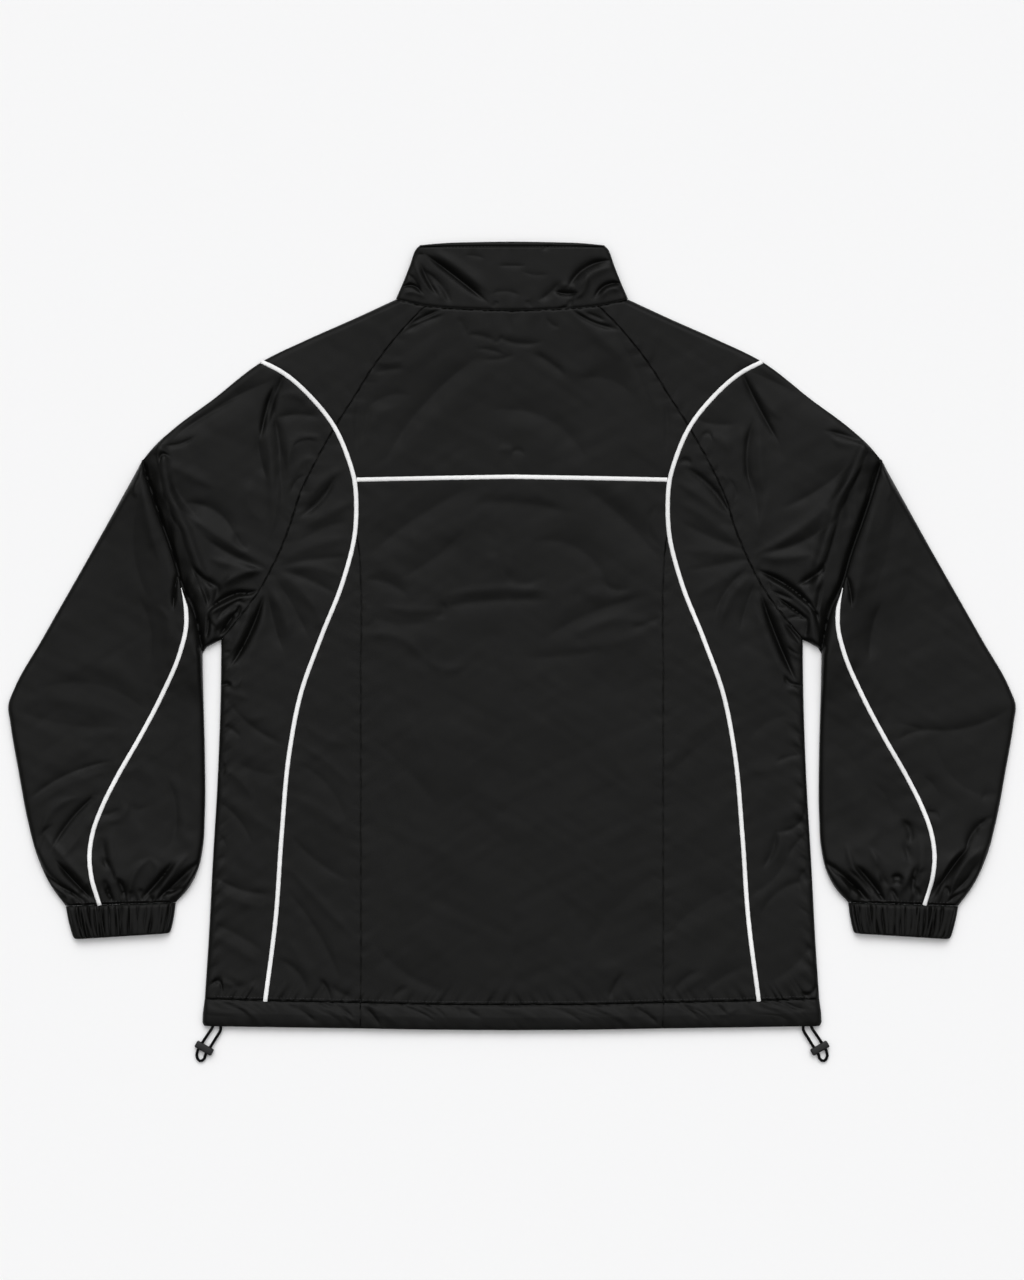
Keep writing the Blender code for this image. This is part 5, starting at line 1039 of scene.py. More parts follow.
def sleeve_seam_line():
    """Seam down the forearm, from the fold to the cuff, and its start along the fold."""
    run = run_length(FOLD_LINE)
    fork = np.interp(SLEEVE_FOLD[FORK_ROW][1], FOLD_LINE[::-1, 1], run[::-1]) + PIPING_FORK
    start = at_lengths(FOLD_LINE, [fork])
    seam = stretch(SLEEVE_PIPING)
    return np.vstack([start, seam[run_length(seam) > PIPING_FORK]]), fork


def forearm_grids(cell):
    """Plan grids of the right-hand forearm on both sides of its piping."""
    seam, fork = sleeve_seam_line()
    fold_upper = at_lengths(FOLD_LINE, np.linspace(fork, 0, 60))
    corner = np.array([SLEEVE_PIPING[-1]], float)
    cuff_outer = np.vstack([corner, CUFF_SEAM[:1]])
    outer = patch("forearm_outer", cell, fold_upper, cuff_outer, seam, OUTER_EDGE)
    fold_rest = at_lengths(FOLD_LINE, np.linspace(fork, run_length(FOLD_LINE)[-1], 60))
    inside = join(fold_rest, INNER_EDGE)
    gap = nearest_on(seam, inside)[0]
    begin = int(np.flatnonzero(gap > INNER_START)[0])
    seam_low = seam[begin:]
    share = run_length(seam)[begin] / run_length(seam)[-1]
    inside_low = after(inside, share * run_length(inside)[-1])
    start_row = np.array([inside_low[0], seam_low[0]])
    cuff_inner = np.vstack([CUFF_SEAM[1:], corner])
    inner = patch("forearm_inner", cell, start_row, cuff_inner, inside_low, seam_low)
    return {"forearm_outer": outer, "forearm_inner": inner}


def under_grids(cell):
    """Plan grids of the right-hand front and the underside of the sleeve."""
    neck = stretch(FRONT_NECK_SEAM)
    raglan = stretch(FRONT_RAGLAN_SEAM)
    split = nearest_on(raglan[:1], neck)[2][0]
    run = run_length(neck)
    neck_low = at_lengths(neck, np.hstack([run[run < split - 1e-6], [split]]))
    neck_high = after(neck, split)
    raglan[0] = neck_high[0]
    hem = stretch(HEM_SEAM)
    hem = np.vstack([(ZIP_OPENING, hem[0][1]), hem[hem[:, 0] > ZIP_OPENING]])
    zip_edge = np.array([hem[0], neck[0]])
    front = patch("front", cell, hem, join(neck_low, raglan), zip_edge, stretch(SIDE_EDGE)[::-1])
    inside = join(raglan, stretch(UNDERARM_EDGE), INNER_EDGE)
    sleeve = patch("sleeve_front", cell, neck_high, CUFF_SEAM[::-1], inside, UNDER_EDGES[0])
    return {"front": front, "sleeve_front": sleeve}


def piping_tube(name, line, region, taper=0.0):
    """Piping along a plan line: a low dome on the cloth with flat feet; it may start in a taper."""
    look = bpy.context.scene.jacket
    total = run_length(line)[-1]
    marks = even_marks(total, round(total / look.piping_step))
    line = at_lengths(line, marks)
    tangent = unit(np.gradient(line, axis=0))
    across = np.stack([tangent[:, 1], -tangent[:, 0]], axis=1)
    share = 1 - (1 - PIPING_POINT) * (1 - ease(marks / taper)) if taper else np.ones(len(marks))
    half = look.piping_width / 2 * share
    line = line - across * (math.copysign(PIPING_SHIFT, line[0, 0]) * (1 - share))[:, None]
    low, middle, high = (raised(region, (line + across * shift)[None])[0]
                         for shift in (-half[:, None], 0, half[:, None]))
    centre = (low + high) / 2
    centre[:, 2] = np.maximum(centre[:, 2], middle[:, 2] + PIPING_LIFT)
    kernel = np.array((1, 2, 3, 2, 1)) / 9
    padded = np.hstack([centre[[0, 0], 2], centre[:, 2], centre[[-1, -1], 2]])
    centre[:, 2] = np.convolve(padded, kernel, mode="valid")
    span = (high - low) / np.maximum(np.linalg.norm(high - low, axis=1), 1e-6)[:, None]
    normal = unit(np.cross(np.gradient(centre, axis=0), span))
    normal *= np.where(normal[:, 2:] < 0, -1.0, 1.0)
    wobble = 1 + 0.05 * waver(marks / 5.0, 4)
    ring = []
    for turn in np.linspace(0, math.pi, look.piping_sides):
        lift = look.piping_height * math.sin(turn) ** 0.75 * share ** 0.5
        side = span * (half * math.cos(turn) * wobble)[:, None]
        ring.append(centre + side + normal * (lift + PIPING_LIFT)[:, None])
    for foot in (-PIPING_FOOT, PIPING_FOOT):
        ring.append(centre + span * (half * foot)[:, None] - normal * PIPING_SINK)
    made = tube(name, np.array(ring).transpose(1, 0, 2), find_material("jacket_piping"))
    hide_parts(name)


def line_up(rows, out):
    """How far up a line that runs outwards is, at distances from the centre line."""
    line = stretch(rows)
    return np.interp(np.abs(out), line[:, 0], line[:, 1])


def edge_round(distance, radius):
    """How far a face falls back next to a rounded free edge."""
    near = np.clip(1 - distance / radius, 0, 1)
    return radius * (1 - np.sqrt(1 - near ** 2))


def collar_grid(thickness, cell):
    """Outer and inner points of the collar, rows from its base to its top edge."""
    rows_line = smooth_line(COLLAR_ROWS)
    marks = even_marks(COLLAR_DEPTH, round(2 * COLLAR_DEPTH / cell)) / COLLAR_DEPTH
    levels = COLLAR_ROWS[0][2] + marks * COLLAR_DEPTH
    rows = np.stack([np.interp(levels, rows_line[:, 2], column) for column in rows_line.T], axis=1)
    middle, half = (COLLAR_LIFT + COLLAR_HEIGHT) / 2, (COLLAR_HEIGHT - COLLAR_LIFT) / 2
    base_width, side_base, centre_base = COLLAR_ROWS[0]
    angles = np.radians(np.linspace(-90, 90, 17))
    count = round(base_width / cell)
    outer, inner = [], []
    for width, up_side, up_centre in rows:
        flat = width - COLLAR_ROLL
        front = np.linspace(ZIP_OPENING, flat, count // 2 + 1)[:-1]
        back = np.linspace(flat, 0, count + 1)[1:]
        out = np.hstack([front, flat + COLLAR_ROLL * np.cos(angles), back])
        height = np.hstack([front * 0 + COLLAR_LIFT, middle + half * np.sin(angles), back * 0 + COLLAR_HEIGHT])
        normal_out = np.hstack([front * 0, np.cos(angles), back * 0])
        normal_up = np.hstack([front * 0 - 1, np.sin(angles), back * 0 + 1])
        seam_out = out / width * base_width
        seam_up = line_up(COLLAR_SEAM, seam_out)
        bend = (seam_up - centre_base) / (side_base - centre_base)
        lower = ease((1 - normal_up) / 2)
        drop = seam_up - line_up(FRONT_NECK_SEAM, seam_out)
        up = up_centre + (up_side - up_centre) * bend - (drop - HIDDEN_GAP) * lower
        below = edge_round((COLLAR_ROWS[-1][2] - up_centre) + SEW_GAP, thickness / 2)
        for grid, depth_in in ((outer, below), (inner, thickness - below)):
            points = np.column_stack([out - normal_out * depth_in, up, height - normal_up * depth_in])
            whole = np.vstack([points, points[-2::-1] * (-1, 1, 1)])
            upper = np.hstack([1 - lower, (1 - lower)[-2::-1]])
            whole[:, 2] += upper * collar_relief(whole[:, :2], (up_centre - centre_base))
            grid.append(whole)
    return np.array(outer), np.array(inner)


def collar_relief(plan, above):
    """Folds, soft waves and the stitched line of the collar."""
    height = fold_sum(plan, COLLAR_FOLDS) + drift(plan, 21) * 0.6
    stitched = bell(COLLAR_DEPTH - 4.8 - above, 0.9) - 0.8 * bell(COLLAR_DEPTH - 2.6 - above, 1.7)
    wave = waver(plan[:, 0] / 6.5, 9) * bell(COLLAR_DEPTH - 3 - above, 5)
    base = bell(above, 1.6)
    pucker = waver(plan[:, 0] / 8.0, 17) * bell(above - 3, 7)
    return height - 1.1 * stitched + 0.3 * wave - 0.9 * base + 0.35 * pucker


def hem_grid(thickness, cell, centre):
    """Outer and inner points of a hem piece with their shares of relief, rows from its seam to its edge."""
    seam_out = PRINCESS_SEAM[-1][0]
    depth = HEM_SEAM[0][1] - HEM_EDGE[0][1]
    marks = even_marks(depth, round(depth / cell)) / depth
    shares = [row[0] for row in HEM_ROWS]
    outer, inner = [], []
    for share in marks:
        level = BACK_HEIGHT + np.interp(share, shares, [row[2] for row in HEM_ROWS])
        edge = np.interp(share, shares, [row[1] for row in HEM_ROWS])
        if centre:
            out = np.linspace(-1, 1, round(2 * seam_out / cell)) * (seam_out - SEW_GAP)
            height, normal_out, normal_up = np.full(len(out), level), out * 0, out * 0 + 1
            top = out * 0 + 1
        else:
            turn = np.linspace(0, math.pi / 2, 9)
            back_turn = turn[::-1][1:]
            top_out = np.linspace(seam_out + SEW_GAP, edge - ROLL, round((HEM_OUT - seam_out) / cell))[:-1]
            low_out = np.linspace(edge - UNDER_ROLL, ZIP_OPENING, round(HEM_OUT / (3 * cell)))[1:]
            out = np.hstack([top_out, edge - ROLL * (1 - np.sin(turn)),
                             edge - UNDER_ROLL * (1 - np.sin(back_turn)), low_out])
            height = np.hstack([top_out * 0 + level, EDGE_HEIGHT + (level - EDGE_HEIGHT) * np.cos(turn),
                                EDGE_HEIGHT * (1 - np.cos(back_turn)), low_out * 0])
            normal_out = np.hstack([top_out * 0, np.sin(turn), np.sin(back_turn), low_out * 0])
            normal_up = np.hstack([top_out * 0 + 1, np.cos(turn), -np.cos(back_turn), low_out * 0 - 1])
            top = np.clip(normal_up, 0, 1)
        up = line_up(HEM_SEAM, out) * (1 - share) + line_up(HEM_EDGE, out) * share
        up = up - (SEW_GAP if share == 0 else 0)
        below = edge_round((1 - share) * depth + 0.1, thickness / 2)
        for grid, depth_in in ((outer, below), (inner, thickness - below)):
            grid.append(np.column_stack([out - normal_out * depth_in, up, height - normal_up * depth_in, top]))
    return np.array(outer), np.array(inner), marks * depth


def hem_relief(plan, below):
    """Puckers and slanting wrinkles of the hem, with the dip of its sewn line."""
    height = fold_sum(plan, HEM_FOLDS) + 0.5 * drift(plan, 31)
    slanted = plan[:, 0] - (1.5 + 1.3 * waver(plan[:, 0] / 45.0, 3)) * below
    patchy = 0.55 + 0.45 * cloud(plan, 38.0, 41)
    pucker = waver(slanted / 6.5, 23) * (0.4 + chance(np.floor(plan[:, 0] / 34), 5))
    seam = 0.4 * bell(below - 3.5, 5) * pucker
    long_creases = creases(slanted / 12.0, below, 16.0, 23)
    seam += patchy * (1.7 * long_creases + 1.1 * creases(slanted / 5.0, below, 5.0, 29))
    edge = 0.3 * waver(plan[:, 0] / 9.0, 27) * bell(HEM_DEPTH - below, 6)
    edge += 0.5 * creases((plan[:, 0] - below) / 15.0, HEM_DEPTH - below, 10.0, 37)
    swell = 0.9 * np.sin(math.pi * np.clip(below / HEM_DEPTH, 0, 1)) ** 0.7
    out = np.abs(plan[:, 0])
    princess = -0.35 * bell(out - HEM_SEAM[HEM_PRINCESS][0], 1.2)
    join_dip = -0.6 * bell(out - HEM_SEAM[HEM_PIPING][0], 1.6) * bell(below, 4)
    sewn = 0.8 * (1 + STITCH_BITE * waver(plan[:, 0] / STITCH_PITCH, 7))
    return height + seam + edge + swell + princess + join_dip - sewn * bell(below, 1.5)


def cuff_rings(thickness, cell, seed):
    """Rings of points of a right-hand cuff, out along its outer face and back along the inner one."""
    (seam_in, seam_out), (end_in, end_out) = np.array(CUFF_ROWS, float)
    widths = 1 - RIB_UNEVEN + 2 * RIB_UNEVEN * chance(np.arange(RIBS), seed)
    ends = np.hstack([[0], np.cumsum(widths)]) / widths.sum()
    share = np.linspace(0, 1, RIB_POINTS * RIBS + 1)
    rib = np.clip(np.searchsorted(ends, share, side="right") - 1, 0, RIBS - 1)
    inside = (share - ends[rib]) / (ends[rib + 1] - ends[rib])
    middle = (end_in + end_out - seam_in - seam_out) / 2
    depth = np.linalg.norm(middle)
    turn = np.radians(np.linspace(90, -90, 15))
    under = np.linspace(1, 0, 40)[1:-1]
    half, edge = CUFF_HEIGHT / 2, thickness / 2

    def ring(along, depth_in):
        """One ring at a distance along the cuff and a depth inside its outer face."""
        t = np.clip(along / depth, 0, 1)
        low, high = seam_in + (end_in - seam_in) * t, seam_out + (end_out - seam_out) * t
        across = (high - low) / np.linalg.norm(high - low)
        turned = edge_round(depth - along, CUFF_CORNER) - CUFF_BOW * math.sin(math.pi * t)
        low, high = low + across * turned, high - across * turned
        width = np.linalg.norm(high - low)
        bent = np.clip(inside + 0.12 * np.sin(rib * 1.7 + along / 7.0), 0, 1)
        valley = rib + (bent > 0.5)
        deep = 0.3 + 0.7 * chance(valley, seed + 3)
        deep *= 0.7 + 0.3 * np.sin(along / (5 + 6 * chance(valley, seed + 5)) + valley * 2.3)
        crown = 1 - deep * (1 - np.abs(np.sin(math.pi * bent)) ** 0.55)
        rise = RIB_HEIGHT * crown * (1 if depth_in < edge else 0.4)
        rise *= ease((along + 1.5) / 5) * ease((depth - along + 3) / 5)
        radius = half - depth_in
        inset = width - 2 * half
        out, rise_round = radius * np.cos(turn), radius * np.sin(turn)
        run = np.hstack([half + inset * share, width - half + out[1:], half + inset * under,
                         half - out[::-1][:-1]])
        level = np.hstack([CUFF_HEIGHT + rise - depth_in, half + rise_round[1:], under * 0 + depth_in,
                           half + rise_round[::-1][:-1]])
        shift = middle / depth * (along - t * depth)
        return np.column_stack([low + run[:, None] * across + shift, level])

    even = np.linspace(1.4, depth - 1.2, round(depth / cell))
    stations = np.hstack([[0.25, 0.7], even, [depth - 0.7]])
    rings = [ring(along, edge_round(along, edge) * 0.6) for along in stations]
    for angle in np.radians((30, 60, 90, 120, 150)):
        rings.append(ring(depth - edge + edge * math.sin(angle), edge * (1 - math.cos(angle))))
    rings += [ring(along, thickness) for along in np.linspace(depth - 1.5, 0.25, 8)]
    return np.array(rings)


def node_maker(tree):
    """Helper that adds a node, sets its inputs and properties by name and links the given inputs."""
    def node(kind, links=(), **values):
        """One node of the tree."""
        new = tree.nodes.new(kind)
        for key, value in values.items():
            if hasattr(new, key):
                setattr(new, key, value)
            else:
                new.inputs[key.replace("_", " ")].default_value = value
        for key, source in links:
            tree.links.new(source, new.inputs[key])
        return new
    return node


def new_material(name):
    """Empty node material with its shader and a helper that adds its nodes."""
    made = bpy.data.materials.new(name)
    made.use_nodes = True
    return made, made.node_tree, made.node_tree.nodes["Principled BSDF"], node_maker(made.node_tree)


def mottle(node, source, colour, low, high):
    """Colour between two shares of itself."""
    mix = node("ShaderNodeMix", [("Factor", source)], data_type="RGBA")
    for slot, share in ((6, low), (7, high)):
        mix.inputs[slot].default_value = (*(value * share for value in colour), 1)
    return mix.outputs[2]


def cloth_material(name, colour, roughness, weave_pitch, weave_depth, fine_scale, specular, sheen):
    """Woven cloth: mottled colour, crossed threads and fine grain in its roughness and bump."""
    made, tree, shader, node = new_material(name)
    place = node("ShaderNodeTexCoord").outputs["Object"]
    broad = node("ShaderNodeTexNoise", [("Vector", place)], Scale=9.0, Detail=3.0, Roughness=0.6)
    fine = node("ShaderNodeTexNoise", [("Vector", place)], Scale=fine_scale, Detail=4.0, Roughness=0.7)
    wave_scale = 2 * math.pi / (20 * weave_pitch)
    warp, weft = (node("ShaderNodeTexWave", [("Vector", place)], bands_direction=way, Scale=wave_scale,
                       Distortion=0.6) for way in ("X", "Y"))
    threads = node("ShaderNodeMath", [(0, warp.outputs["Fac"]), (1, weft.outputs["Fac"])], operation="ADD")
    shade = node("ShaderNodeMapRange", [("Value", threads.outputs[0])], From_Min=0.0, From_Max=2.0,
                 To_Min=0.8, To_Max=1.15)
    grain = node("ShaderNodeMapRange", [("Value", fine.outputs["Fac"])], From_Min=0.3, From_Max=0.7,
                 To_Min=0.9, To_Max=1.12)
    factor = node("ShaderNodeMath", [(0, shade.outputs[0]), (1, grain.outputs[0])], operation="MULTIPLY")
    patchy = mottle(node, broad.outputs["Fac"], colour, 0.75, 1.3)
    tone = node("ShaderNodeVectorMath", [(0, patchy), ("Scale", factor.outputs[0])], operation="SCALE")
    rough = node("ShaderNodeMapRange", [("Value", fine.outputs["Fac"])], From_Min=0.3, From_Max=0.7,
                 To_Min=roughness - 0.05, To_Max=roughness + 0.06)
    grainy = node("ShaderNodeBump", [("Height", fine.outputs["Fac"])], Strength=0.25, Distance=0.0006)
    woven = node("ShaderNodeBump", [("Height", threads.outputs[0]), ("Normal", grainy.outputs[0])],
                 Strength=0.5, Distance=weave_depth)
    for key, source in (("Base Color", tone), ("Roughness", rough), ("Normal", woven)):
        tree.links.new(source.outputs[0], shader.inputs[key])
    for key, value in (("Specular IOR Level", specular), ("Sheen Weight", sheen), ("Sheen Roughness", 0.5)):
        shader.inputs[key].default_value = value
    return made


def hard_material(name, colour, roughness, metallic, specular, scale):
    """Moulded or painted surface with slight unevenness of colour, roughness and relief."""
    made, tree, shader, node = new_material(name)
    place = node("ShaderNodeTexCoord").outputs["Object"]
    noise = node("ShaderNodeTexNoise", [("Vector", place)], Scale=scale, Detail=5.0, Roughness=0.6)
    source = noise.outputs["Fac"]
    tone = mottle(node, source, colour, 0.8, 1.2)
    rough = node("ShaderNodeMapRange", [("Value", source)], From_Min=0.3, From_Max=0.7,
                 To_Min=roughness - 0.06, To_Max=roughness + 0.08)
    relief = node("ShaderNodeBump", [("Height", source)], Strength=0.2, Distance=0.0002)
    for key, socket in (("Base Color", tone), ("Roughness", rough.outputs[0]), ("Normal", relief.outputs[0])):
        tree.links.new(socket, shader.inputs[key])
    shader.inputs["Metallic"].default_value = metallic
    shader.inputs["Specular IOR Level"].default_value = specular
    return made


def find_material(key):
    """The named finish of the jacket, made from the settings the first time."""
    if key in bpy.data.materials:
        return bpy.data.materials[key]
    look = bpy.context.scene.jacket
    rough, shine = look.shell_roughness, (look.shell_specular, look.shell_sheen)
    # Colour, roughness, pitch and depth of the weave in metres, scale of the fine grain, specular, sheen
    cloths = {
        "jacket_shell": (look.shell_colour, rough, 0.0007, 0.00006, 900.0, *shine),
        "jacket_band": (look.band_colour, rough + 0.05, 0.0011, 0.00012, 700.0, *shine),
        "jacket_piping": (look.piping_colour, 0.5, 0.0009, 0.00008, 800.0, 0.4, 0.0),
        "jacket_tape": (look.band_colour, 0.7, 0.0009, 0.0001, 900.0, 0.3, 0.1),
        "jacket_thread": (look.thread_colour, 0.5, 0.0004, 0.00005, 2500.0, 0.4, 0.1),
        "jacket_cord": (look.cord_colour, 0.6, 0.0006, 0.00015, 1800.0, 0.05, 0.0),
    }
    # Colour, roughness, metallic, specular, scale of the unevenness
    hard = {
        "jacket_coil": ((0.02, 0.02, 0.022), 0.35, 0.0, 0.5, 1500.0),
        "jacket_metal": ((0.03, 0.03, 0.032), 0.32, 0.9, 0.5, 600.0),
        "jacket_lock": (look.lock_colour, 0.42, 0.0, 0.22, 900.0),
    }
    return cloth_material(key, *cloths[key]) if key in cloths else hard_material(key, *hard[key])


def number(name, description, default, **more):
    """Setting that is one number."""
    return FloatProperty(name=name, description=description, default=default, **more)


def tint(name, description, default):
    """Setting that is a colour."""
    return FloatVectorProperty(name=name, description=description, subtype="COLOR", default=default)


class JacketLook(bpy.types.PropertyGroup):
    """Sizes in millimetres, and colours of the jacket."""
    cell: number("Cell", "Size of the cloth's grid", 1.6)
    thickness: number("Cloth", "Thickness of the cloth", 0.9)
    band_thickness: number("Band", "Thickness of the collar and hem", 2.0)
    seam_gap: number("Seam gap", "Gap between pieces", 0.16)
    piping_width: number("Piping width", "Across the piping", 4.4)
    piping_height: number("Piping height", "Above the cloth", 1.35)
    piping_step: number("Piping step", "Between its rings of points", 2.0)
    piping_sides: IntProperty(name="Piping sides", description="Points over its dome", default=11)
    shell_colour: tint("Shell", "Colour of the woven cloth", (0.0027, 0.0027, 0.0024))
    band_colour: tint("Band", "Colour of the hem and cuffs", (0.0027, 0.0027, 0.0024))
    piping_colour: tint("Piping", "Colour of the piping", (0.84, 0.84, 0.84))
    thread_colour: tint("Thread", "Colour of the sewing thread", (0.014, 0.014, 0.015))
    cord_colour: tint("Cord", "Colour of the shock cord", (0.0025, 0.0025, 0.0027))
    lock_colour: tint("Lock", "Colour of the cord locks", (0.011, 0.011, 0.0114))
    shell_roughness: number("Roughness", "Roughness of the cloth", 0.37)
    shell_specular: number("Specular", "Reflection of the cloth", 0.124)
    shell_sheen: number("Sheen", "Soft sheen of the cloth", 0.006)


class StudioLook(bpy.types.PropertyGroup):
    """Camera, floor and lights."""
    camera_height: number("Camera height", "Above the floor", 6.0, unit="LENGTH")
    camera_up: number("Camera up", "Towards the collar", -0.004, unit="LENGTH")
    lens: number("Lens", "Focal length in millimetres", 168.75)
    floor_size: number("Floor", "Side of the floor", 14.0, unit="LENGTH")
    floor_colour: tint("Floor", "Colour of the floor", (0.93, 0.93, 0.935))
    dome: number("Dome", "Greatest strength of the surroundings", 1.66)
    dome_low: number("Dome low", "Share of it near the floor", 0.04)
    dome_edge: number("Dome edge", "Cosine at which it is lowest", 0.42)
    dome_rise: number("Dome rise", "Height angle of its brightest part", 1.16, subtype="ANGLE")
    key: number("Key", "Strength of the light on the collar side", 0.9)
    key_rise: number("Key rise", "Height angle of that light", 0.84, subtype="ANGLE")
    fill: number("Fill", "Strength of each side light", 0.06)


class JACKET_OT_camera(bpy.types.Operator):
    """Camera straight above the jacket"""
    bl_idname = "jacket.camera"
    bl_label = "Camera"

    def execute(self, context):
        look = context.scene.studio
        data = bpy.data.cameras.new("camera")
        data.type = "PERSP"
        data.lens = look.lens
        data.sensor_width = 36.0
        data.dof.use_dof = False
        data.clip_end = 50.0
        camera = added("camera", data)
        camera.location = (0, look.camera_up, look.camera_height)
        context.scene.camera = camera
        return {"FINISHED"}


class JACKET_OT_cords(bpy.types.Operator):
    """Shock cords with their two-hole locks, out of the hem at both sides"""
    bl_idname = "jacket.cords"
    bl_label = "Cords and locks"

    def execute(self, context):
        route = smooth_line(CORD_ROUTE)
        total = run_length(route)[-1]
        points = at_lengths(route, np.linspace(0, total, CORD_POINTS))
        for name, side in SIDES:
            curve = bpy.data.curves.new(f"drawcord_{name}", "CURVE")
            curve.dimensions = "3D"
            curve.bevel_depth = CORD_RADIUS * MM
            curve.bevel_resolution = 4
            curve.use_fill_caps = True
            spline = curve.splines.new("POLY")
            spline.points.add(len(points) - 1)
            spots = points * (side, 1, 1) * MM
            for point, spot in zip(spline.points, spots):
                point.co = (*spot, 1)
            curve.materials.append(find_material("jacket_cord"))
            cord = added(f"drawcord_{name}", curve)
            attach(cord, BODY)
            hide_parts(f"drawcord_{name}")
            lock = build_lock(name, side)
        return {"FINISHED"}


def build_lock(name, side):
    """Moulded lock: a bar of soft square section that narrows at its ends, with two holes for the cord."""
    tilt = math.radians(LOCK_TILT)
    along = np.array((math.cos(tilt), math.sin(tilt)))
    square = np.array((-along[1], along[0]))
    rings = []
    for place, deep, tall in LOCK_SECTIONS:
        centre = np.array(LOCK_CENTRE) + along * place * LOCK_LENGTH / 2
        ring = []
        for turn in np.linspace(0, 2 * math.pi, 29)[:-1]:
            c, s = math.cos(turn), math.sin(turn)
            across = math.copysign(abs(c) ** 0.5, c) * deep * LOCK_DEPTH / 2
            level = LOCK_HEIGHT / 2 * (1 + math.copysign(abs(s) ** 0.5, s) * tall)
            spot = centre + square * across
            ring.append((side * spot[0], spot[1], level))
        rings.append(ring)
    finish = find_material("jacket_lock")
    lock = tube(f"cord_lock_{name}", np.array(rings), finish)
    for k, shift in enumerate((-LOCK_HOLE_GAP / 2, LOCK_HOLE_GAP / 2)):
        centre = np.array(LOCK_CENTRE) + along * shift
        ring = []
        for end in (centre - square * LOCK_DEPTH, centre + square * LOCK_DEPTH):
            circle = []
            for turn in np.linspace(0, 2 * math.pi, 25)[:-1]:
                spread = end + along * LOCK_HOLE_RADIUS * math.cos(turn)
                level = LOCK_HEIGHT / 2 + LOCK_HOLE_RADIUS * math.sin(turn)
                circle.append((side * spread[0], spread[1], level))
            ring.append(circle)
        cutter = tube(f"hole_{name}_{k}", np.array(ring), finish)
        step = lock.modifiers.new("hole", "BOOLEAN")
        step.operation = "DIFFERENCE"
        step.object = cutter
        lock.data = applied(lock)
        lock.modifiers.clear()
        bpy.data.objects.remove(cutter, do_unlink=True)
    lock.data.shade_smooth()
    lock.data.set_sharp_from_angle(angle=math.radians(SHARP_ANGLE))
    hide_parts(f"cord_lock_{name}")
    return lock


def applied(made):
    """Mesh of an object with its modifiers applied."""
    graph = bpy.context.evaluated_depsgraph_get()
    graph.update()
    return bpy.data.meshes.new_from_object(made.evaluated_get(graph))


class JACKET_OT_body(bpy.types.Operator):
    """Yoke, centre back, and the strips and side panels of both sides"""
    bl_idname = "jacket.body"
    bl_label = "Body panels"

    def execute(self, context):
        cell = context.scene.jacket.cell
        for name, grid in centre_grids(cell).items():
            cloth_piece(name, grid, "back", ALL_SIDES)
        side_pieces(side_grids(cell), ("back_side", "side_panel"))
        return {"FINISHED"}


class JACKET_OT_sleeves(bpy.types.Operator):
    """Raglan shoulders, upper sleeves and the forearms that are folded over them"""
    bl_idname = "jacket.sleeves"
    bl_label = "Sleeves"

    def execute(self, context):
        cell = context.scene.jacket.cell
        side_pieces({**side_grids(cell), **forearm_grids(cell)},
                    ("shoulder", "upper_sleeve", "forearm_outer", "forearm_inner"))
        return {"FINISHED"}


class JACKET_OT_fronts(bpy.types.Operator):
    """Fronts and sleeve undersides, flat on the floor"""
    bl_idname = "jacket.fronts"
    bl_label = "Fronts"

    def execute(self, context):
        side_pieces(under_grids(context.scene.jacket.cell), ("front", "sleeve_front"))
        return {"FINISHED"}


class JACKET_OT_piping(bpy.types.Operator):
    """White piping of the body, yoke and sleeves"""
    bl_idname = "jacket.piping"
    bl_label = "Piping"

    def execute(self, context):
        look = context.scene.jacket
        yoke = mirrored(stretch(YOKE_SEAM))
        run = run_length(yoke)
        start = look.piping_width / 2 + 0.3
        end = run[-1] - start
        marks = np.hstack([[start], run[(run > start) & (run < end)], [end]])
        piping_tube("piping_yoke", at_lengths(yoke, marks), "back")
        seam = after(stretch(SLEEVE_PIPING), PIPING_BEGIN)
        for name, side in SIDES:
            piping_tube(f"piping_body_{name}", stretch(BODY_PIPING) * (side, 1), "back")
            piping_tube(f"piping_sleeve_{name}", seam * (side, 1), "forearm", PIPING_TAPER)
        return {"FINISHED"}


class JACKET_OT_collar(bpy.types.Operator):
    """Stand collar, pressed flat"""
    bl_idname = "jacket.collar"
    bl_label = "Collar"

    def execute(self, context):
        look = context.scene.jacket
        outer, inner = collar_grid(look.band_thickness, look.cell)
        made = wall_between("collar", outer, inner, find_material("jacket_shell"), BAND_STEP)
        declare_cloth(outer, "collar")
        return {"FINISHED"}


class JACKET_OT_hem(bpy.types.Operator):
    """Hem tunnel in three pieces"""
    bl_idname = "jacket.hem"
    bl_label = "Hem"

    def execute(self, context):
        look = context.scene.jacket
        band = find_material("jacket_band")
        pieces = [("hem_back", 1, True)] + [(f"hem_{name}", side, False) for name, side in SIDES]
        for name, side, centre in pieces:
            outer, inner, below = hem_grid(look.band_thickness, look.cell, centre)
            for grid in (outer, inner):
                grid[:, :, 0] *= side
                depth = np.repeat(below, grid.shape[1])
                relief = hem_relief(grid[:, :, :2].reshape(-1, 2), depth).reshape(grid.shape[:2])
                grid[:, :, 2] += relief * grid[:, :, 3]
            outer, inner = outer[:, :, :3], inner[:, :, :3]
            made = wall_between(name, outer, inner, band, BAND_STEP)
            declare_cloth(outer, name)
        return {"FINISHED"}


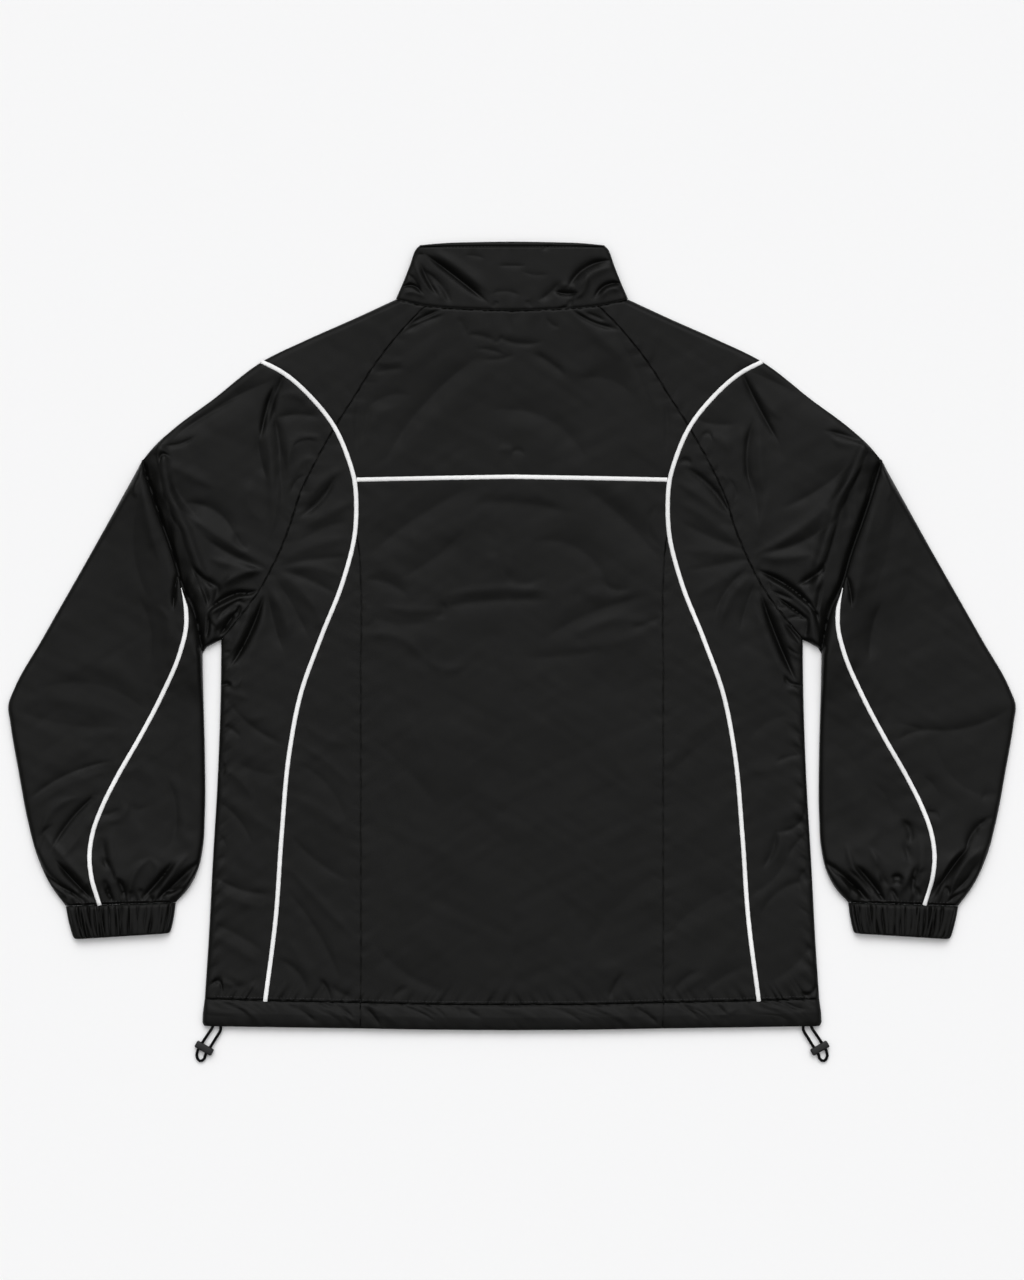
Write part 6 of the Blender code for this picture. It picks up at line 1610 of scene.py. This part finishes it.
class JACKET_OT_cuffs(bpy.types.Operator):
    """Gathered cuffs with uneven ribs"""
    bl_idname = "jacket.cuffs"
    bl_label = "Cuffs"

    def execute(self, context):
        look = context.scene.jacket
        band = find_material("jacket_band")
        for name, side in SIDES:
            rings = cuff_rings(look.thickness, look.cell, 4 + side)
            count, corners = rings.shape[:2]
            points = (rings * (side, 1, 1)).reshape(-1, 3)
            faces = quads(count, corners, wrap_rows=True, wrap_columns=True)
            made = add_mesh(f"cuff_{name}", points, faces, band, sharp=CLOTH_SHARP_ANGLE)
            declare_cloth(rings[:-8].transpose(1, 0, 2), f"cuff_{name}")
        return {"FINISHED"}


class JACKET_OT_zip(bpy.types.Operator):
    """Zip tapes and coil up the centre front, hidden under the back"""
    bl_idname = "jacket.zip"
    bl_label = "Zip"

    def execute(self, context):
        ups = np.arange(ZIP_BOTTOM, ZIP_TOP, 6.0)
        ups[-1] = ZIP_TOP
        lift = front_lift(ups)
        inner, outer = COIL_WIDTH / 2 + 0.3, COIL_WIDTH / 2 + 13.3
        profile = ((inner, 0.15), (inner + 0.5, 0), (outer - 0.6, 0), (outer, 0.2), (outer, 0.7),
                   (outer - 0.6, 0.9), (inner + 1.6, 0.9), (inner + 0.9, 1.2), (inner + 0.2, 1.0))
        for name, side in SIDES:
            rings = [[(side * out, up, TAPE_BASE + level + rise) for out, level in profile]
                     for up, rise in zip(ups, lift)]
            made = tube(f"zip_tape_{name}", np.array(rings), find_material("jacket_tape"))
            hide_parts(f"zip_tape_{name}")
        points, faces = coil_loops()
        made = add_mesh("zip_coil", points, faces, find_material("jacket_coil"))
        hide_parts("zip_coil")
        for node in ("zip_slider", "zip_pull"):
            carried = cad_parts[node]
            carried.data.materials.clear()
            carried.data.materials.append(find_material("jacket_metal"))
        return {"FINISHED"}


def coil_loops():
    """Closed coil: a spiral of wire from each side, one half a pitch behind the other."""
    points, faces = [], []
    middle = TAPE_BASE + TAPE_THICKNESS / 2
    for side in (-1, 1):
        turns = (ZIP_TOP - ZIP_BOTTOM - 4) / COIL_PITCH
        angles = np.linspace(0, 2 * math.pi * turns, round(turns * 5))
        up = ZIP_BOTTOM + 2 + angles / (2 * math.pi) * COIL_PITCH + (0.5 + 0.5 * side) * COIL_PITCH / 2
        line = np.column_stack([side * (0.85 - 1.25 * np.cos(angles)), up, middle + 0.45 * np.sin(angles)])
        line[:, 2] += front_lift(up)
        tangent = unit(np.gradient(line, axis=0))
        first = unit(np.cross(tangent, (0, 1, 0)))
        second = np.cross(tangent, first)
        ring = np.stack([line + COIL_WIRE * (math.cos(a) * first + math.sin(a) * second)
                         for a in np.radians((45, 135, 225, 315))], axis=1)
        base = len(points)
        points += ring.reshape(-1, 3).tolist()
        faces += quads(len(line), 4, base, wrap_columns=True)
        faces += [[base + c for c in (3, 2, 1, 0)], [base + 4 * (len(line) - 1) + c for c in range(4)]]
    return points, faces


class JACKET_OT_stitching(bpy.types.Operator):
    """Stitch bars along the collar, hem and cuffs"""
    bl_idname = "jacket.stitching"
    bl_label = "Stitching"

    def execute(self, context):
        thread = find_material("jacket_thread")
        (base_out, base_side, base_up), (_, side_up, top_up) = COLLAR_ROWS[0], COLLAR_ROWS[-1]
        outs = np.arange(-84, 84.1, 1.0)
        bend = (line_up(COLLAR_SEAM, outs / COLLAR_STITCH_OUT * base_out) - base_up) / (base_side - base_up)
        plan = np.column_stack([outs, top_up - COLLAR_STITCHES + (side_up - top_up) * bend])
        level = COLLAR_HEIGHT + collar_relief(plan, np.full(len(plan), COLLAR_DEPTH - COLLAR_STITCHES))
        add_stitches("collar_stitches", np.column_stack([plan, level]), thread)
        outs = np.arange(-300, 300.1, 1.0)
        plan = np.column_stack([outs, line_up(HEM_SEAM, outs) + 3.2])
        add_stitches("hem_seam_stitches", np.column_stack([plan, surface("back", plan)]), thread)
        for name, side in SIDES:
            plan = (at_shares(CUFF_SEAM, np.linspace(0.08, 0.92, 90)) + (0, 3.0)) * (side, 1)
            add_stitches(f"cuff_stitches_{name}", np.column_stack([plan, surface("forearm", plan)]), thread)
        return {"FINISHED"}


def add_stitches(name, line, thread):
    """Row of small rounded thread bars that follow a line in space."""
    points, faces = [], []
    for start in np.arange(STITCH_PITCH / 2, run_length(line)[-1] - STITCH_PITCH, STITCH_PITCH):
        spine = at_lengths(line, start + np.linspace(0, STITCH_LENGTH, 5))
        spine[:, 2] += STITCH_RADIUS * np.array((-0.8, 0.5, 0.7, 0.5, -0.8))
        step = spine[-1] - spine[0]
        across = np.array((-step[1], step[0], 0)) / max(np.hypot(step[0], step[1]), 1e-6)
        base = len(points)
        for spot, swell in zip(spine, (0.55, 0.95, 1, 0.95, 0.55)):
            for c, s in ((1, 0), (0.5, 0.87), (-0.5, 0.87), (-1, 0), (-0.5, -0.87), (0.5, -0.87)):
                points.append(spot + STITCH_RADIUS * swell * (c * across + s * np.array((0, 0, 1))))
        faces += quads(5, 6, base, wrap_columns=True)
        faces += [[base + c for c in range(5, -1, -1)], [base + 24 + c for c in range(6)]]
    return add_mesh(name, points, faces, thread)


class JACKET_OT_studio(bpy.types.Operator):
    """Pale floor, soft lights and pale surroundings"""
    bl_idname = "jacket.studio"
    bl_label = "Studio"

    def execute(self, context):
        look = context.scene.studio
        half = look.floor_size / 2
        mesh = bpy.data.meshes.new("floor")
        mesh.from_pydata([(-half, -half, 0), (half, -half, 0), (half, half, 0), (-half, half, 0)], [],
                         [(0, 1, 2, 3)])
        floor = added("floor", mesh)
        floor.location.z = -0.0003
        mesh.materials.append(floor_material(look.floor_colour))
        lights = [sun("key_light", look.key, 0.0, look.key_rise, 0.6)]
        for name, turn in (("left_light", 1.75), ("right_light", -1.75)):
            lights.append(sun(name, look.fill, turn, 0.6, 0.7))
        world = bpy.data.worlds.new("studio")
        world.use_nodes = True
        soft_dome(world.node_tree, look)
        context.scene.world = world
        context.scene.view_settings.view_transform = "Standard"
        context.scene.view_settings.look = "None"
        return {"FINISHED"}


def soft_dome(tree, look):
    """Surroundings that are brightest above the collar side and darker towards the floor."""
    node = node_maker(tree)
    place = node("ShaderNodeTexCoord").outputs["Generated"]
    towards = node("ShaderNodeVectorMath", [(0, place)], operation="DOT_PRODUCT")
    towards.inputs[1].default_value = (0, math.cos(look.dome_rise), math.sin(look.dome_rise))
    shade = node("ShaderNodeMapRange", [("Value", towards.outputs["Value"])], interpolation_type="SMOOTHSTEP",
                 From_Min=look.dome_edge, From_Max=1.0, To_Min=look.dome * look.dome_low, To_Max=look.dome)
    background = tree.nodes["Background"]
    background.inputs["Color"].default_value = (1, 1, 1, 1)
    tree.links.new(shade.outputs["Result"], background.inputs["Strength"])


def sun(name, strength, turn, rise, spread):
    """Soft far light: turn is its angle round from the collar side, rise its height angle."""
    data = bpy.data.lights.new(name, "SUN")
    data.energy = strength
    data.angle = spread
    made = added(name, data)
    made.rotation_euler = (-(math.pi / 2 - rise), 0, turn)
    made.location = (-2 * math.sin(turn), 2 * math.cos(turn), 2)
    return made


def floor_material(colour):
    """Matt paper with faint grain."""
    made, tree, shader, node = new_material("studio_floor")
    place = node("ShaderNodeTexCoord").outputs["Object"]
    noise = node("ShaderNodeTexNoise", [("Vector", place)], Scale=180.0, Detail=3.0)
    tree.links.new(mottle(node, noise.outputs["Fac"], colour, 0.995, 1.005), shader.inputs["Base Color"])
    shader.inputs["Roughness"].default_value = 0.95
    shader.inputs["Specular IOR Level"].default_value = 0.0
    return made


OPERATORS = (
    JACKET_OT_camera, JACKET_OT_cords, JACKET_OT_body, JACKET_OT_sleeves, JACKET_OT_fronts, JACKET_OT_piping,
    JACKET_OT_collar, JACKET_OT_hem, JACKET_OT_cuffs, JACKET_OT_zip, JACKET_OT_stitching, JACKET_OT_studio,
)


class JACKET_PT_panel(bpy.types.Panel):
    """Settings and steps of the jacket"""
    bl_label = "Jacket"
    bl_idname = "JACKET_PT_panel"
    bl_space_type = "VIEW_3D"
    bl_region_type = "UI"
    bl_category = "Jacket"

    def draw(self, context):
        for group in (context.scene.jacket, context.scene.studio):
            for key in type(group).__annotations__:
                self.layout.prop(group, key)
        for step in OPERATORS:
            self.layout.operator(step.bl_idname)


CLASSES = (JacketLook, StudioLook, *OPERATORS, JACKET_PT_panel)


def register():
    for cls in CLASSES:
        bpy.utils.register_class(cls)
    bpy.types.Scene.jacket = PointerProperty(type=JacketLook)
    bpy.types.Scene.studio = PointerProperty(type=StudioLook)


def unregister():
    del bpy.types.Scene.studio
    del bpy.types.Scene.jacket
    for cls in reversed(CLASSES):
        bpy.utils.unregister_class(cls)


def main():
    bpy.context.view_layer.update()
    register()
    bpy.ops.jacket.camera()
    bpy.ops.jacket.cords()
    bpy.ops.jacket.body()
    bpy.ops.jacket.sleeves()
    bpy.ops.jacket.fronts()
    bpy.ops.jacket.piping()
    bpy.ops.jacket.collar()
    bpy.ops.jacket.hem()
    bpy.ops.jacket.cuffs()
    bpy.ops.jacket.zip()
    bpy.ops.jacket.stitching()
    bpy.ops.jacket.studio()


if __name__ == "__main__":
    main()
